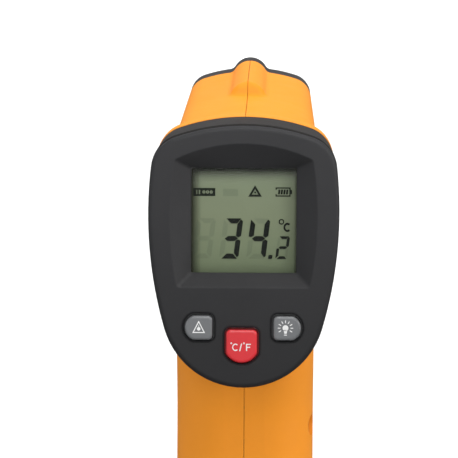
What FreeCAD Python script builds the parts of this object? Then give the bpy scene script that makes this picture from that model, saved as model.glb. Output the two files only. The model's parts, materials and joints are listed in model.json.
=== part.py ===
"""Pistol-grip infrared thermometer with a rear display head.

Frame: millimetres, +Z up, +Y towards the nose, +X to the user's right. The origin is the
middle of the flat foot of the handle. The display head leans forward by the tilt angle, so
its parts are drawn in a face frame: x right, y up the face, z out of the face.
"""
import FreeCAD, Part
import math
import os
import Sketcher

Vector, Rotation, Placement = FreeCAD.Vector, FreeCAD.Rotation, FreeCAD.Placement

doc = FreeCAD.newDocument("infrared_thermometer")

# ------------------------------------------------------------------ driving dimensions
DIMS = [
    # display head
    ("tilt", 15.0), ("face_y", -14.0), ("face_z", 121.8),
    ("face_hh", 29.46), ("face_top_rad", 47.3), ("face_corner_rad", 8.22),
    ("face_side_rad", 92.5), ("face_side_up", 9.76), ("face_bottom_rad", 18.55),
    ("plate_edge", 1.7), ("rim_depth", 12.3), ("rim_shrink", 0.5), ("seam", 0.2),
    ("recess_top_hw", 15.5), ("recess_foot_hw", 14.9), ("recess_bow", 1.35),
    ("recess_low", -6.8), ("recess_corner_up", 21.8), ("recess_arch_rad", 35.0),
    ("recess_deep", 3.0), ("win_hw", 11.9), ("win_low", -3.6), ("win_high", 20.1),
    ("key_gap", 0.4), ("key_proud", 0.9),
    ("side_key_x", 9.95), ("side_key_up", -15.8), ("side_key_w", 6.2), ("side_key_ht", 5.4),
    ("mid_key_up", -19.9), ("mid_key_w", 7.0), ("mid_key_ht", 7.4),
    # barrel and nose
    ("body_w", 34.0), ("grip_w", 33.6), ("roof_z", 149.4), ("roof_rad", 42.0),
    ("belly_z", 111.0), ("roof_edge_rad", 6.0), ("belly_edge_rad", 8.0),
    ("nose_y", 79.4), ("nose_len", 8.0), ("barrel_back_y", 8.0),
    ("ridge_z", 152.4), ("ridge_rad", 4.9), ("wall", 2.0), ("lens_z", 129.0), ("laser_z", 147.4),
    # handle
    ("grip_back_rad", 12.0), ("grip_front_rad", 9.0),
    # trigger
    ("trig_w", 13.0), ("trig_pivot_y", 37.0), ("trig_pivot_z", 115.5), ("trig_pin_rad", 1.25),
    # battery door
    ("door_hinge_y", 16.6), ("door_hinge_z", 9.4), ("door_knuckle_rad", 3.4),
    ("door_top_z", 69.5), ("door_gap", 0.3), ("door_pin_rad", 1.0),
    # batteries
    ("cell_rad", 5.25), ("cell_len", 44.5),
]
VAL = dict(DIMS)
sheet = doc.addObject("Spreadsheet::Sheet", "dims")
for row, (alias, value) in enumerate(DIMS, 1):
    sheet.set("A%d" % row, str(value))
    sheet.setAlias("A%d" % row, alias)
doc.recompute()


class Dim:
    """A number together with the sheet expression that gives it."""

    def __init__(self, value, text):
        self.value, self.text = float(value), text

    def _joined(self, sign, other, value):
        text = other.text if isinstance(other, Dim) else repr(float(other))
        return Dim(value, "(%s %s %s)" % (self.text, sign, text))

    def __add__(self, other):
        return self._joined("+", other, self.value + num(other))

    def __sub__(self, other):
        return self._joined("-", other, self.value - num(other))

    def __mul__(self, other):
        return self._joined("*", other, self.value * num(other))

    def __truediv__(self, other):
        return self._joined("/", other, self.value / num(other))

    def __neg__(self):
        return self * -1.0

    def __rsub__(self, other):
        return Dim(other, repr(float(other))) - self


def dim(alias):
    return Dim(VAL[alias], "dims." + alias)


def num(x):
    return x.value if isinstance(x, Dim) else float(x)


def root(x):
    return Dim(math.sqrt(x.value), "sqrt(%s)" % x.text)


TILT_COS = Dim(math.cos(math.radians(VAL["tilt"])), "cos(dims.tilt * 1 deg)")
TILT_SIN = Dim(math.sin(math.radians(VAL["tilt"])), "sin(dims.tilt * 1 deg)")


# ------------------------------------------------------------------ placing
ALONG_X = Rotation(Vector(0, 1, 0), 90)     # turns +Z to +X
ALONG_Y = Rotation(Vector(1, 0, 0), -90)    # turns +Z to +Y
UPSIDE_DOWN = Rotation(Vector(1, 0, 0), 180)
FACE = Placement(Vector(0, VAL["face_y"], VAL["face_z"]),
                 Rotation(Vector(1, 0, 0), 90.0 - VAL["tilt"]))
CRADLE = Placement(Vector(0, 10.9, 13.6), Rotation(Vector(1, 0, 0), -6.3))


def bind(obj, prop, size):
    """Sets a size, tied to the sheet when it comes from there."""
    if isinstance(size, Dim):
        obj.setExpression(prop, size.text)
    else:
        setattr(obj, prop, float(size))


def place(obj, pos=(0, 0, 0), rot=None):
    """Placement of an object; any coordinate may come from the sheet."""
    obj.Placement = Placement(Vector(*[num(c) for c in pos]), rot or Rotation())
    for axis, c in zip("xyz", pos):
        if isinstance(c, Dim):
            obj.setExpression("Placement.Base." + axis, c.text)
    return obj


def on_face(obj, x=0, up=0, out=0):
    """Places an object drawn in the face frame."""
    y = dim("face_y") + TILT_SIN * up - TILT_COS * out
    z = dim("face_z") + TILT_COS * up + TILT_SIN * out
    place(obj, (x, y, z), FACE.Rotation)
    obj.setExpression("Placement.Rotation.Angle", "90 deg - dims.tilt * 1 deg")
    return obj


def in_cradle(obj, x, y, z, rot=None):
    """Places an object given in the leaning frame of the battery cradle."""
    obj.Placement = CRADLE.multiply(Placement(Vector(x, y, z), rot or Rotation()))
    return obj


# ------------------------------------------------------------------ sketches
serial = [0]    # running number in the names of sketches and features


def new_body(label):
    return doc.addObject("PartDesign::Body", label)


def new_sketch(body, role="XY_Plane", up=0.0):
    """An empty sketch on one of the body's origin planes, moved along its normal by up."""
    serial[0] += 1
    sketch = body.newObject("Sketcher::SketchObject", "%s_sk%d" % (body.Name, serial[0]))
    plane = next(f for f in body.Origin.OriginFeatures if getattr(f, "Role", "") == role)
    sketch.AttachmentSupport = [(plane, "")]
    sketch.MapMode = "FlatFace"
    sketch.AttachmentOffset = Placement(Vector(0, 0, num(up)), Rotation())
    if isinstance(up, Dim):
        sketch.setExpression("AttachmentOffset.Base.z", up.text)
    return sketch


def constrain(sketch, size, kind, *where):
    """A driving constraint, tied to the sheet where it can be."""
    n = sketch.addConstraint(Sketcher.Constraint(kind, *where, num(size)))
    if isinstance(size, Dim):
        sketch.setExpression("Constraints[%d]" % n, size.text)


def drive_point(sketch, geo, pos, point):
    """Dimensions a point of the geometry from the sketch origin."""
    constrain(sketch, point[0], "DistanceX", -1, 1, geo, pos)
    constrain(sketch, point[1], "DistanceY", -1, 1, geo, pos)


def add_line(sketch, start, end):
    ends = [Vector(num(x), num(y), 0) for x, y in (start, end)]
    sketch.addGeometry(Part.LineSegment(*ends), False)


def arc_of(centre, rad, start, end):
    """An arc running anticlockwise between two angles in radians."""
    return Part.ArcOfCircle(Part.Circle(Vector(*centre, 0), Vector(0, 0, 1), rad), start, end)


def close_up(sketch):
    """Joins each piece of a closed outline to the next at their nearest ends."""
    ends = [(g.StartPoint, g.EndPoint) for g in sketch.Geometry]
    for i, here in enumerate(ends):
        j = (i + 1) % len(ends)
        p, q = min(((p, q) for p in (0, 1) for q in (0, 1)),
                   key=lambda pair: (here[pair[0]] - ends[j][pair[1]]).Length)
        sketch.addConstraint(Sketcher.Constraint("Coincident", i, p + 1, j, q + 1))


def poly(sketch, points):
    """A closed polygon whose corners are all dimensioned."""
    for i, point in enumerate(points):
        add_line(sketch, point, points[(i + 1) % len(points)])
    close_up(sketch)
    for i, point in enumerate(points):
        drive_point(sketch, i, 1, point)


def circle(sketch, x, y, rad):
    shape = Part.Circle(Vector(num(x), num(y), 0), Vector(0, 0, 1), num(rad))
    geo = sketch.addGeometry(shape, False)
    constrain(sketch, rad, "Radius", geo)
    drive_point(sketch, geo, 3, (x, y))


def heading(start, end):
    """Unit direction from one point to another."""
    length = math.dist(start, end)
    return (end[0] - start[0]) / length, (end[1] - start[1]) / length


def rounded_poly(sketch, corners):
    """A closed outline of lines and tangent arcs from anticlockwise corners (x, y, radius)."""
    pieces = []     # start and end of each rounding, and its arc
    for i, (x, y, rad) in enumerate(corners):
        here, before, after = (x, y), corners[i - 1][:2], corners[(i + 1) % len(corners)][:2]
        ux, uy = heading(before, here)
        vx, vy = heading(here, after)
        bend = math.atan2(ux * vy - uy * vx, ux * vx + uy * vy)
        if rad <= 0.05 or abs(bend) < 1e-3:
            pieces.append((here, here, None))
            continue
        slope = math.tan(abs(bend) / 2)
        # the rounding takes less than half of either neighbouring line
        run = min(rad * slope, 0.48 * min(math.dist(before, here), math.dist(here, after)))
        rad = run / slope
        start = (x - ux * run, y - uy * run)
        end = (x + vx * run, y + vy * run)
        inward = math.copysign(rad, bend)
        centre = (start[0] - uy * inward, start[1] + ux * inward)
        first, last = [math.atan2(p[1] - centre[1], p[0] - centre[0])
                       for p in ((start, end) if bend > 0 else (end, start))]
        while last < first:
            last += 2 * math.pi
        pieces.append((start, end, arc_of(centre, rad, first, last)))
    for i, (_, end, arc) in enumerate(pieces):
        if arc:
            sketch.addGeometry(arc, False)
        following = pieces[(i + 1) % len(pieces)][0]
        if math.dist(end, following) > 1e-6:
            add_line(sketch, end, following)
    close_up(sketch)


# ------------------------------------------------------------------ body features
def is_broken(obj):
    return "Invalid" in obj.State or "Error" in obj.State or obj.Shape.isNull()


def add_feature(body, kind, word, profile):
    name = "%s_%s%d" % (body.Name, word, serial[0])
    feature = body.newObject("PartDesign::" + kind, name)
    feature.Profile = profile
    return feature


def finish(body, feature):
    body.Tip = feature
    doc.recompute()
    if is_broken(feature):
        raise SystemExit("feature failed: %s in %s" % (feature.Name, body.Label))


def pad(body, sketch, length, sym=False, rev=False):
    feature = add_feature(body, "Pad", "pad", sketch)
    bind(feature, "Length", length)
    feature.Midplane = sym
    feature.Reversed = rev
    finish(body, feature)


def pocket(body, sketch, length, sym=False):
    feature = add_feature(body, "Pocket", "pocket", sketch)
    bind(feature, "Length", length)
    feature.Midplane = sym
    finish(body, feature)


def loft(body, sections, ruled=False):
    feature = add_feature(body, "AdditiveLoft", "loft", sections[0])
    feature.Sections = sections[1:]
    feature.Ruled = ruled
    finish(body, feature)


def spin(label, points):
    """A solid turned about Z; points are (distance along the axis, radius)."""
    body = new_body(label)
    sketch = new_sketch(body, "XZ_Plane")
    poly(sketch, [(rad, along) for along, rad in points])
    feature = add_feature(body, "Revolution", "rev", sketch)
    feature.ReferenceAxis = (sketch, ["V_Axis"])
    feature.Angle = 360.0
    finish(body, feature)
    return body


def spin_y(label, y, z, points):
    """A turned solid whose axis lies along Y in the middle plane."""
    return place(spin(label, points), (0, y, z), ALONG_Y)


def edge_numbers(shape, test):
    """Numbers of the edges whose mid point and direction there pass a test."""
    numbers = []
    for i, edge in enumerate(shape.Edges, 1):
        middle = (edge.FirstParameter + edge.LastParameter) / 2.0
        try:
            mid, tan = edge.valueAt(middle), edge.tangentAt(middle)
        except Exception:
            # a degenerate edge has no direction
            continue
        if test(mid, tan):
            numbers.append(i)
    return numbers


def fillet(body, test, rad, may_fail=False):
    """Rounds the chosen edges of the body; may leave them sharp where may_fail allows it."""
    base = body.Tip
    numbers = edge_numbers(base.Shape, test)
    if not numbers:
        raise SystemExit("no edge to round on " + body.Label)
    serial[0] += 1
    feature = body.newObject("PartDesign::Fillet", "%s_round%d" % (body.Name, serial[0]))
    feature.Base = (base, ["Edge%d" % n for n in numbers])
    bind(feature, "Radius", rad)
    body.Tip = feature
    doc.recompute()
    if is_broken(feature) or not feature.Shape.isValid():
        if not may_fail:
            raise SystemExit("rounding failed on " + body.Label)
        doc.removeObject(feature.Name)
        body.Tip = base
        doc.recompute()


# ------------------------------------------------------------------ whole solids
def box(label, size, pos=(0, 0, 0)):
    obj = doc.addObject("Part::Box", label)
    for prop, length in zip(("Length", "Width", "Height"), size):
        bind(obj, prop, length)
    return place(obj, pos)


def side_box(label, x0, x1, y0, y1, z0, z1):
    return box(label, (x1 - x0, y1 - y0, z1 - z0), (x0, y0, z0))


def face_box(label, size, pos):
    """A box drawn in the face frame."""
    return on_face(box(label, size), *pos)


def cradle_box(label, size, pos):
    return in_cradle(box(label, size), *pos)


def cylinder(label, rad, height, pos=(0, 0, 0), rot=None):
    obj = doc.addObject("Part::Cylinder", label)
    bind(obj, "Radius", rad)
    bind(obj, "Height", height)
    return place(obj, pos, rot)


def rod_x(label, rad, length, x, y, z):
    return cylinder(label, rad, length, (x, y, z), ALONG_X)


def rod_y(label, rad, length, x, y, z):
    return cylinder(label, rad, length, (x, y, z), ALONG_Y)


def boolean(kind, label, **inputs):
    obj = doc.addObject(kind, label)
    for prop, shape in inputs.items():
        setattr(obj, prop, shape)
    obj.Refine = True
    return obj


def cut(label, base, tool):
    return boolean("Part::Cut", label, Base=base, Tool=tool)


def fuse(label, *shapes):
    return boolean("Part::MultiFuse", label, Shapes=list(shapes))


def common(label, first, second):
    return boolean("Part::MultiCommon", label, Shapes=[first, second])


def part_fillet(label, base, numbers, rad):
    """A fillet on numbered edges, or None where it can't be made."""
    obj = doc.addObject("Part::Fillet", label)
    obj.Base = base
    obj.Edges = [(n, rad, rad) for n in numbers]
    doc.recompute()
    if not is_broken(obj) and obj.Shape.isValid() and len(obj.Shape.Solids) == 1:
        return obj
    doc.removeObject(obj.Name)
    doc.recompute()
    return None


def creases(shape, where, least=4.0):
    """Numbers of the edges where two faces meet at over least degrees, chosen by mid point."""
    numbers = []
    for i, edge in enumerate(shape.Edges, 1):
        mid = edge.valueAt((edge.FirstParameter + edge.LastParameter) / 2.0)
        if not where(mid):
            continue
        faces = shape.ancestorsOfType(edge, Part.Face)
        if len(faces) != 2:
            continue
        normals = [f.normalAt(*f.Surface.parameter(mid)) for f in faces]
        if math.degrees(normals[0].getAngle(normals[1])) > least:
            numbers.append(i)
    return numbers


def soften(label, base, radii, where):
    """Rounds creases with the first radius that works; leaves them sharp if none does."""
    doc.recompute()
    numbers = creases(base.Shape, where)
    if not numbers:
        return base
    for rad in radii:
        rounded = part_fillet(label, base, numbers, rad)
        if rounded:
            return rounded
    return base


def swept(label, path, centre, normal, rad):
    """A round section carried along a path."""
    profile = Part.Wire([Part.Circle(centre, normal, rad).toShape()])
    obj = doc.addObject("Part::Feature", label)
    obj.Shape = Part.Wire(path).makePipeShell([profile], True, True)
    return obj


def coil(label, rad, thick, length, turns):
    """A helical spring standing on the origin along Z; thick is the wire's diameter."""
    path = Part.makeLongHelix((length - thick) / turns, length - thick, rad)
    path.translate(Vector(0, 0, thick / 2))
    return swept(label, path.Edges, Vector(rad, 0, thick / 2), Vector(0, 1, 0), thick / 2)


def lead(label, points, rad):
    """A round lead along a smooth curve through the points."""
    curve = Part.BSplineCurve()
    curve.interpolate([Vector(*p) for p in points])
    tangent = curve.tangent(curve.FirstParameter)[0]
    return swept(label, [curve.toShape()], Vector(*points[0]), tangent, rad)


NODES = []      # the pieces that are written out


def node(obj, label):
    obj.Label = label
    NODES.append((obj, label))


def face_node(obj, label):
    """A finished piece that was drawn in the face frame."""
    node(on_face(obj), label)


# ------------------------------------------------------------------ the face outline
def outline(sketch, off=0.0, up=0.0):
    """The egg-shaped outline of the display head: a top arch, two corners, two long sides and
    a round chin, all tangent. off grows or shrinks it, up slides it up the face."""
    half_height, side_up = VAL["face_hh"], VAL["face_side_up"]
    top_rad, corner_rad = VAL["face_top_rad"], VAL["face_corner_rad"]
    side_rad, chin_rad = VAL["face_side_rad"], VAL["face_bottom_rad"]
    top = (0.0, half_height - top_rad)
    chin = (0.0, chin_rad - half_height)
    side = (-math.sqrt((side_rad - chin_rad) ** 2 - (side_up - chin[1]) ** 2), side_up)
    # a corner touches the top arch and the side from inside, so its centre lies on two circles
    from_top, from_side = top_rad - corner_rad, side_rad - corner_rad
    dist = math.dist(side, top)
    ux, uy = heading(top, side)
    along = (from_top ** 2 - from_side ** 2 + dist ** 2) / (2 * dist)
    across = math.sqrt(from_top ** 2 - along ** 2)
    corner = max((top[0] + along * ux + s * across * uy, top[1] + along * uy - s * across * ux)
                 for s in (1, -1))

    def angle(start, end):
        return math.atan2(end[1] - start[1], end[0] - start[0])

    at_top, at_side, at_chin = angle(top, corner), angle(side, corner), angle(side, chin)
    pi = math.pi
    arcs = [    # which radius, centre, first and last angle
        ("top", top, at_top, pi - at_top),
        ("corner", (-corner[0], corner[1]), pi - at_top, pi - at_side),
        ("side", (-side[0], side[1]), pi - at_side, pi - at_chin),
        ("bottom", chin, pi - at_chin, 2 * pi + at_chin),
        ("side", side, at_chin, at_side),
        ("corner", corner, at_side, at_top),
    ]
    radii = [dim("face_%s_rad" % which) + off for which, *_ in arcs]
    for rad, (_, (x, y), start, end) in zip(radii, arcs):
        sketch.addGeometry(arc_of((x, y + num(up)), rad.value, start, end), False)
    for i in range(6):
        sketch.addConstraint(Sketcher.Constraint("Tangent", i, 2, (i + 1) % 6, 1))
    for i, rad in enumerate(radii):
        constrain(sketch, rad, "Radius", i)
    for i in (0, 3):
        sketch.addConstraint(Sketcher.Constraint("PointOnObject", i, 3, -2))
    heights = ((0, dim("face_hh") - dim("face_top_rad")),
               (3, dim("face_bottom_rad") - dim("face_hh")),
               (2, dim("face_side_up")), (4, dim("face_side_up")))
    for i, height in heights:
        constrain(sketch, height + up, "DistanceY", -1, 1, i, 3)
    return sketch


def head_sections(body, stations):
    """Face outlines at stations (distance along the barrel axis from the face, growth)."""
    return [outline(new_sketch(body, "XY_Plane", -(TILT_COS * along)), grow, TILT_SIN * along)
            for along, grow in stations]


# ------------------------------------------------------------------ outer and inner forms
# Side view of the handle, anticlockwise: y, z, rounding radius.
GRIP_TOP = 128.0
GRIP = [
    (-18.6, 0.0, 0.0), (19.0, 0.0, 0.0), (21.6, 24.0, 120.0), (24.6, 46.0, 120.0),
    (26.0, 64.0, 90.0), (26.8, 80.0, 90.0), (29.0, 100.0, 60.0), (33.0, GRIP_TOP, 0.0),
    (10.0, GRIP_TOP, 0.0), (-5.0, 93.0, 40.0), (-5.3, 80.0, 22.0), (-12.6, 56.0, 60.0),
    (-14.2, 34.0, 80.0), (-18.2, 12.0, 60.0),
]


def grip_form(label, off):
    """The handle as a solid, shrunk by off all round but for its top."""
    body = new_body(label)
    shrink = num(off)
    corners = []
    for i, (y, z, rad) in enumerate(GRIP):
        uy, uz = heading(GRIP[i - 1][:2], (y, z))
        vy, vz = heading((y, z), GRIP[(i + 1) % len(GRIP)][:2])
        # movement of the corner for each millimetre that its two sides move inward
        spread = 1.0 + uy * vy + uz * vz
        move_y = -(uz + vz) / spread
        move_z = 0.0 if z >= GRIP_TOP else (uy + vy) / spread
        if rad:
            rad = max(rad - shrink, 0) if uy * vz - uz * vy > 0 else rad + shrink
        corners.append((y + shrink * move_y, z + shrink * move_z, rad))
    sketch = new_sketch(body, "YZ_Plane")
    rounded_poly(sketch, corners)
    pad(body, sketch, dim("grip_w") - off * 2, sym=True)
    half = (VAL["grip_w"] - 2 * shrink) / 2.0
    foot_z = min(z for _, z, _ in corners)

    def is_rim(mid, tan, front):
        return (abs(abs(mid.x) - half) <= 1e-3 and abs(tan.x) <= 1e-3
                and foot_z + 0.02 <= mid.z <= GRIP_TOP - 0.1 and (mid.y > 8.0) == front)

    fillet(body, lambda mid, tan: is_rim(mid, tan, True), dim("grip_front_rad") - off)
    fillet(body, lambda mid, tan: is_rim(mid, tan, False), dim("grip_back_rad") - off)
    return body


def barrel_form(label, off, back, front):
    """The barrel from y = back to front, with an arched roof, its section shrunk by off."""
    body = new_body(label)
    sketch = new_sketch(body, "XZ_Plane", -back)
    half = dim("body_w") / 2 - off
    roof_rad = dim("roof_rad") - off
    roof_centre = dim("roof_z") - off - roof_rad
    low = dim("belly_z") + off
    side = roof_centre + root(roof_rad * roof_rad - half * half)
    arch_start = math.acos(half.value / roof_rad.value)
    add_line(sketch, (-half, low), (half, low))
    add_line(sketch, (half, low), (half, side))
    arch = arc_of((0, roof_centre.value), roof_rad.value, arch_start, math.pi - arch_start)
    sketch.addGeometry(arch, False)
    add_line(sketch, (-half, side), (-half, low))
    close_up(sketch)
    drive_point(sketch, 0, 1, (-half, low))
    drive_point(sketch, 1, 1, (half, low))
    drive_point(sketch, 3, 1, (-half, side))
    drive_point(sketch, 1, 2, (half, side))
    constrain(sketch, roof_rad, "Radius", 2)
    pad(body, sketch, front - back, rev=True)

    def is_long(mid, tan):
        return abs(abs(tan.y) - 1) < 1e-6 and abs(mid.x) > 5

    fillet(body, lambda mid, tan: is_long(mid, tan) and mid.z > 130, dim("roof_edge_rad") - off)
    fillet(body, lambda mid, tan: is_long(mid, tan) and mid.z < 130, dim("belly_edge_rad") - off)
    return body


def ridge_form(label, off, back, front):
    """The rounded spine on the roof over the laser, rising along an S-curve at its back."""
    run, rise, base = 7.0, 4.0, 143.0
    body = new_body(label)
    top, front = VAL["ridge_z"] - num(off), num(front)
    step = top - rise
    rad = ((run / 2) ** 2 + (rise / 2) ** 2) / rise
    sweep = math.asin((run / 2) / rad)
    sketch = new_sketch(body, "YZ_Plane")
    right_angle = math.pi / 2
    add_line(sketch, (back, base), (back, step))
    sketch.addGeometry(arc_of((back, step + rad), rad, -right_angle, sweep - right_angle), False)
    sketch.addGeometry(arc_of((back + run, top - rad), rad, right_angle, right_angle + sweep),
                       False)
    add_line(sketch, (back + run, top), (front, top))
    add_line(sketch, (front, top), (front, base))
    add_line(sketch, (front, base), (back, base))
    close_up(sketch)
    pad(body, sketch, 14.0, sym=True)
    # a ring-shaped cut leaves the spine round
    ring = new_sketch(body, "XZ_Plane")
    for ring_rad in (dim("ridge_rad") - off, 30.0):
        circle(ring, 0.0, dim("ridge_z") - dim("ridge_rad"), ring_rad)
    pocket(body, ring, 300.0, sym=True)
    return body


def pod_form(label, off, stations):
    """The collar that grows out of the barrel to meet the display head."""
    body = new_body(label)
    loft(body, head_sections(body, [(along, grow - off) for along, grow in stations]))
    return on_face(body)


BARREL_BACK, NOSE_FRONT = dim("barrel_back_y"), dim("nose_y")
BARREL_FRONT = NOSE_FRONT - dim("nose_len") - dim("seam") / 2
# Collar: distance along the barrel axis from the face, growth of the face outline.
POD = [(12.5, -0.4), (14.5, -0.42), (17.0, -0.6), (19.5, -1.2), (22.0, -2.4), (25.0, -4.4),
       (29.0, -7.0)]

outer = fuse("outer_form",
             barrel_form("barrel_outer", 0.0, BARREL_BACK, BARREL_FRONT),
             ridge_form("ridge_outer", 0.0, 32.0, BARREL_FRONT),
             pod_form("pod_outer", 0.0, POD),
             grip_form("grip_outer", 0.0))

# blends: under the barrel in front of the grip, along the spine, and round the collar
outer = soften("blend_front", outer, (4.0,),
               lambda m: 15.0 < m.y < 33.0 and 108.0 < m.z < 118.0 and abs(m.x) < 16.9)
outer = soften("blend_spine", outer, (2.0, 1.6, 1.2, 0.8),
               lambda m: 26.0 < m.y < 70.0 and m.z > 147.0 and abs(m.x) < 6.0)
outer = soften("blend_collar", outer, (2.8, 1.5),
               lambda m: (-4.6 < m.y < 16.5 and 93.9 < m.z < 151.0 and abs(m.x) < 17.5
                          and not (m.y < 6.2 and m.z > 149)))

WALL = dim("wall")
inner = fuse("inner_form",
             barrel_form("barrel_inner", WALL, BARREL_BACK - 2.0, NOSE_FRONT),
             ridge_form("ridge_inner", WALL * 0.75, 34.6, NOSE_FRONT),
             pod_form("pod_inner", WALL, [(12.0, -0.38)] + POD[1:-1] + [(26.5, -5.6)]),
             grip_form("grip_inner", WALL))

# ------------------------------------------------------------------ shells
LENS_Z, LASER_Z = dim("lens_z"), dim("laser_z")
PIVOT = (dim("trig_pivot_y"), dim("trig_pivot_z"))
PIVOT_RAD, TRIGGER_W = dim("trig_pin_rad"), dim("trig_w")
HINGE = (dim("door_hinge_y"), dim("door_hinge_z"))
HINGE_Y, HINGE_Z = HINGE
KNUCKLE_RAD, DOOR_GAP, DOOR_PIN_RAD = dim("door_knuckle_rad"), dim("door_gap"), dim("door_pin_rad")
HALF_SPAN = 18.0        # half the width of cutters that pass right across the handle
LUG_XS, LUG_LEN = (-9.3, 6.3), 3.0
SCREWS = [(56.0, 116.8), (22.0, 137.6), (2.5, 73.6), (-5.4, 36.0), (-9.0, 11.0)]    # y, z


def door_zone(label, gap):
    """Everything in front of the door's parting line, grown by gap."""
    hinge_y, hinge_z = VAL["door_hinge_y"], VAL["door_hinge_z"]
    top = VAL["door_top_z"] + gap
    body = new_body(label)
    sketch = new_sketch(body, "YZ_Plane", -HALF_SPAN)
    rounded_poly(sketch, [
        (hinge_y - VAL["door_knuckle_rad"] - gap, hinge_z, 0), (60, hinge_z, 0), (60, top, 0),
        (14.0 - gap, top, 3.0), (10.5 - gap, 18.0, 14.0)])
    pad(body, sketch, 2 * HALF_SPAN)
    return body


door_opening = door_zone("door_zone_gap_front", VAL["door_gap"])
low_clear = side_box("door_low_clear", -HALF_SPAN, HALF_SPAN, VAL["door_hinge_y"], 60.0,
                     VAL["door_hinge_z"] - VAL["door_knuckle_rad"] - VAL["door_gap"],
                     VAL["door_hinge_z"] + 0.5)
slot_half = TRIGGER_W / 2 + 0.3
trigger_slot = box("trigger_slot", (slot_half * 2, 25.0, 40.7), (-slot_half, 22.0, 72.5))

# ribs for the optics tube, the laser and the trigger spring; bosses for pin and screws
RIBS = [    # name, x from and to, y from and to, z from and to
    ("rear", -18.0, 18.0, 47.6, 49.1, 108.0, 156.0),
    ("front", -18.0, 18.0, 61.5, 63.0, 108.0, 156.0),
    ("spring", -15.5, 15.5, 15.0, 16.6, 73.0, 90.0),
]
inside_parts = [side_box("rib_" + name, *spans) for name, *spans in RIBS]
inside_parts += [rod_x("pivot_boss_left", 3.0, 8.9, -16.0, *PIVOT),
                 rod_x("pivot_boss_right", 3.0, 8.9, 7.1, *PIVOT)]
for i, x in enumerate(LUG_XS):
    inside_parts += [
        rod_x("hinge_lug_%d" % i, 2.2, LUG_LEN, x, *HINGE),
        box("hinge_lug_arm_%d" % i, (LUG_LEN, 9.6, 2.8), (x, HINGE_Y - 9.6, HINGE_Z - 1.1)),
        box("hinge_lug_post_%d" % i, (LUG_LEN, 3.0, 8.0), (x, HINGE_Y - 9.6, HINGE_Z - 8.4)),
    ]
inside_parts += [rod_x("screw_boss_%d" % i, 3.6, 2 * HALF_SPAN, -HALF_SPAN, y, z)
                 for i, (y, z) in enumerate(SCREWS)]
insides = common("shell_insides_trim", fuse("shell_insides", *inside_parts), outer)
solid_shell = fuse("shell_with_ribs", cut("shell_hollow", outer, inner), insides)

openings = [door_opening, low_clear, trigger_slot]
for name, length, x in (("mid", 12.3, -6.15), ("left", 8.3, -17.8), ("right", 8.3, 9.5)):
    openings.append(rod_x("knuckle_space_" + name, KNUCKLE_RAD + DOOR_GAP, length, x, *HINGE))
openings += [
    rod_y("tube_bore", 8.56, 60.0, 0, 20.0, LENS_Z),
    rod_y("laser_bore", 3.06, 34.0, 0, 46.0, LASER_Z),
    rod_x("pin_bore", PIVOT_RAD + 0.03, 26.0, -13.0, *PIVOT),
    rod_x("hinge_bore", DOOR_PIN_RAD + 0.03, 22.0, -11.0, *HINGE),
]
for i, (y, z) in enumerate(SCREWS):
    openings.append(rod_x("screw_bore_%d" % i, 1.2, 20.0, -10.0, y, z))
    openings.append(rod_x("screw_head_bore_%d" % i, 2.6, 10.0, 9.0, y, z))
full_shell = cut("shell_full", solid_shell, fuse("shell_openings", *openings))
# the halves part at the middle plane with a 0.1 seam
for name, x0, x1 in (("right", 0.05, 30.0), ("left", -30.0, -0.05)):
    half_space = side_box("half_" + name, x0, x1, -40.0, 100.0, -10.0, 170.0)
    node(common(name + "_shell_solid", full_shell, half_space), name + "_shell")


# ------------------------------------------------------------------ nose cap
NOSE_BACK = NOSE_FRONT - dim("nose_len") + dim("seam") / 2
CONE_BACK = 71.0
CONE_LEN = NOSE_FRONT - CONE_BACK
front_y = NOSE_FRONT.value
nose = fuse("nose_sharp", barrel_form("nose_outer", 0.0, NOSE_BACK, NOSE_FRONT),
            rod_y("nose_ridge", dim("ridge_rad"), dim("nose_len") - dim("seam") / 2,
                  0, NOSE_BACK, dim("ridge_z") - dim("ridge_rad")))
nose = soften("blend_nose_spine", nose, (2.0, 1.6, 1.2),
              lambda m: (m.z > 147.0 and abs(m.x) < 6.0
                         and NOSE_BACK.value + 0.5 < m.y < front_y - 0.5))
front_edges = edge_numbers(nose.Shape, lambda mid, tan: abs(mid.y - front_y) < 1e-4)
nose = part_fillet("nose_form", nose, front_edges, 1.8)
if nose is None:
    raise SystemExit("rounding failed: nose_form")
nose_hollow = barrel_form("nose_hollow", WALL, NOSE_BACK - 1.0, NOSE_FRONT - 3.0)
tongue = cut("nose_tongue",
             barrel_form("nose_tongue_outer", WALL + 0.12, NOSE_BACK - 4.0, NOSE_BACK + 3.0),
             barrel_form("nose_tongue_inner", WALL + 1.6, NOSE_BACK - 5.0, NOSE_FRONT - 3.0))
# turned shapes: distance along the axis, radius
cone = spin_y("nose_cone_outer", CONE_BACK, LENS_Z, [
    (0, 0), (0, 9.1), (CONE_LEN - 3.2, 13.2), (CONE_LEN - 0.7, 13.9), (CONE_LEN - 0.7, 0)])
cone_hole = spin_y("nose_cone_inner", CONE_BACK, LENS_Z, [
    (-0.1, 0), (-0.1, 7.6), (0.6, 7.6), (0.9, 8.1), (CONE_LEN - 0.8, 11.8),
    (CONE_LEN + 0.05, 12.6), (CONE_LEN + 0.05, 0)])
laser_hole = spin_y("nose_laser_hole", CONE_BACK, LASER_Z, [
    (-0.1, 0), (-0.1, 3.3), (6.2, 3.3), (6.2, 1.9), (8.0, 1.9), (9.0, 2.6), (9.0, 0)])
laser_boss = rod_y("nose_laser_boss", 4.3, 5.5, 0, 73.0, LASER_Z)
nose_solid = fuse("nose_joined", cut("nose_shell", nose, nose_hollow), tongue, cone,
                  common("nose_laser_boss_trim", laser_boss, nose))
nose_tools = fuse("nose_tools", cone_hole, laser_hole,
                  rod_y("nose_laser_clear", 4.6, 6.0, 0, 65.6, LASER_Z))
node(cut("nose_cap_solid", nose_solid, nose_tools), "nose_cap")
node(rod_y("laser_window_disc", 3.2, 0.8, 0, 76.3, LASER_Z), "laser_window")


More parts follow.
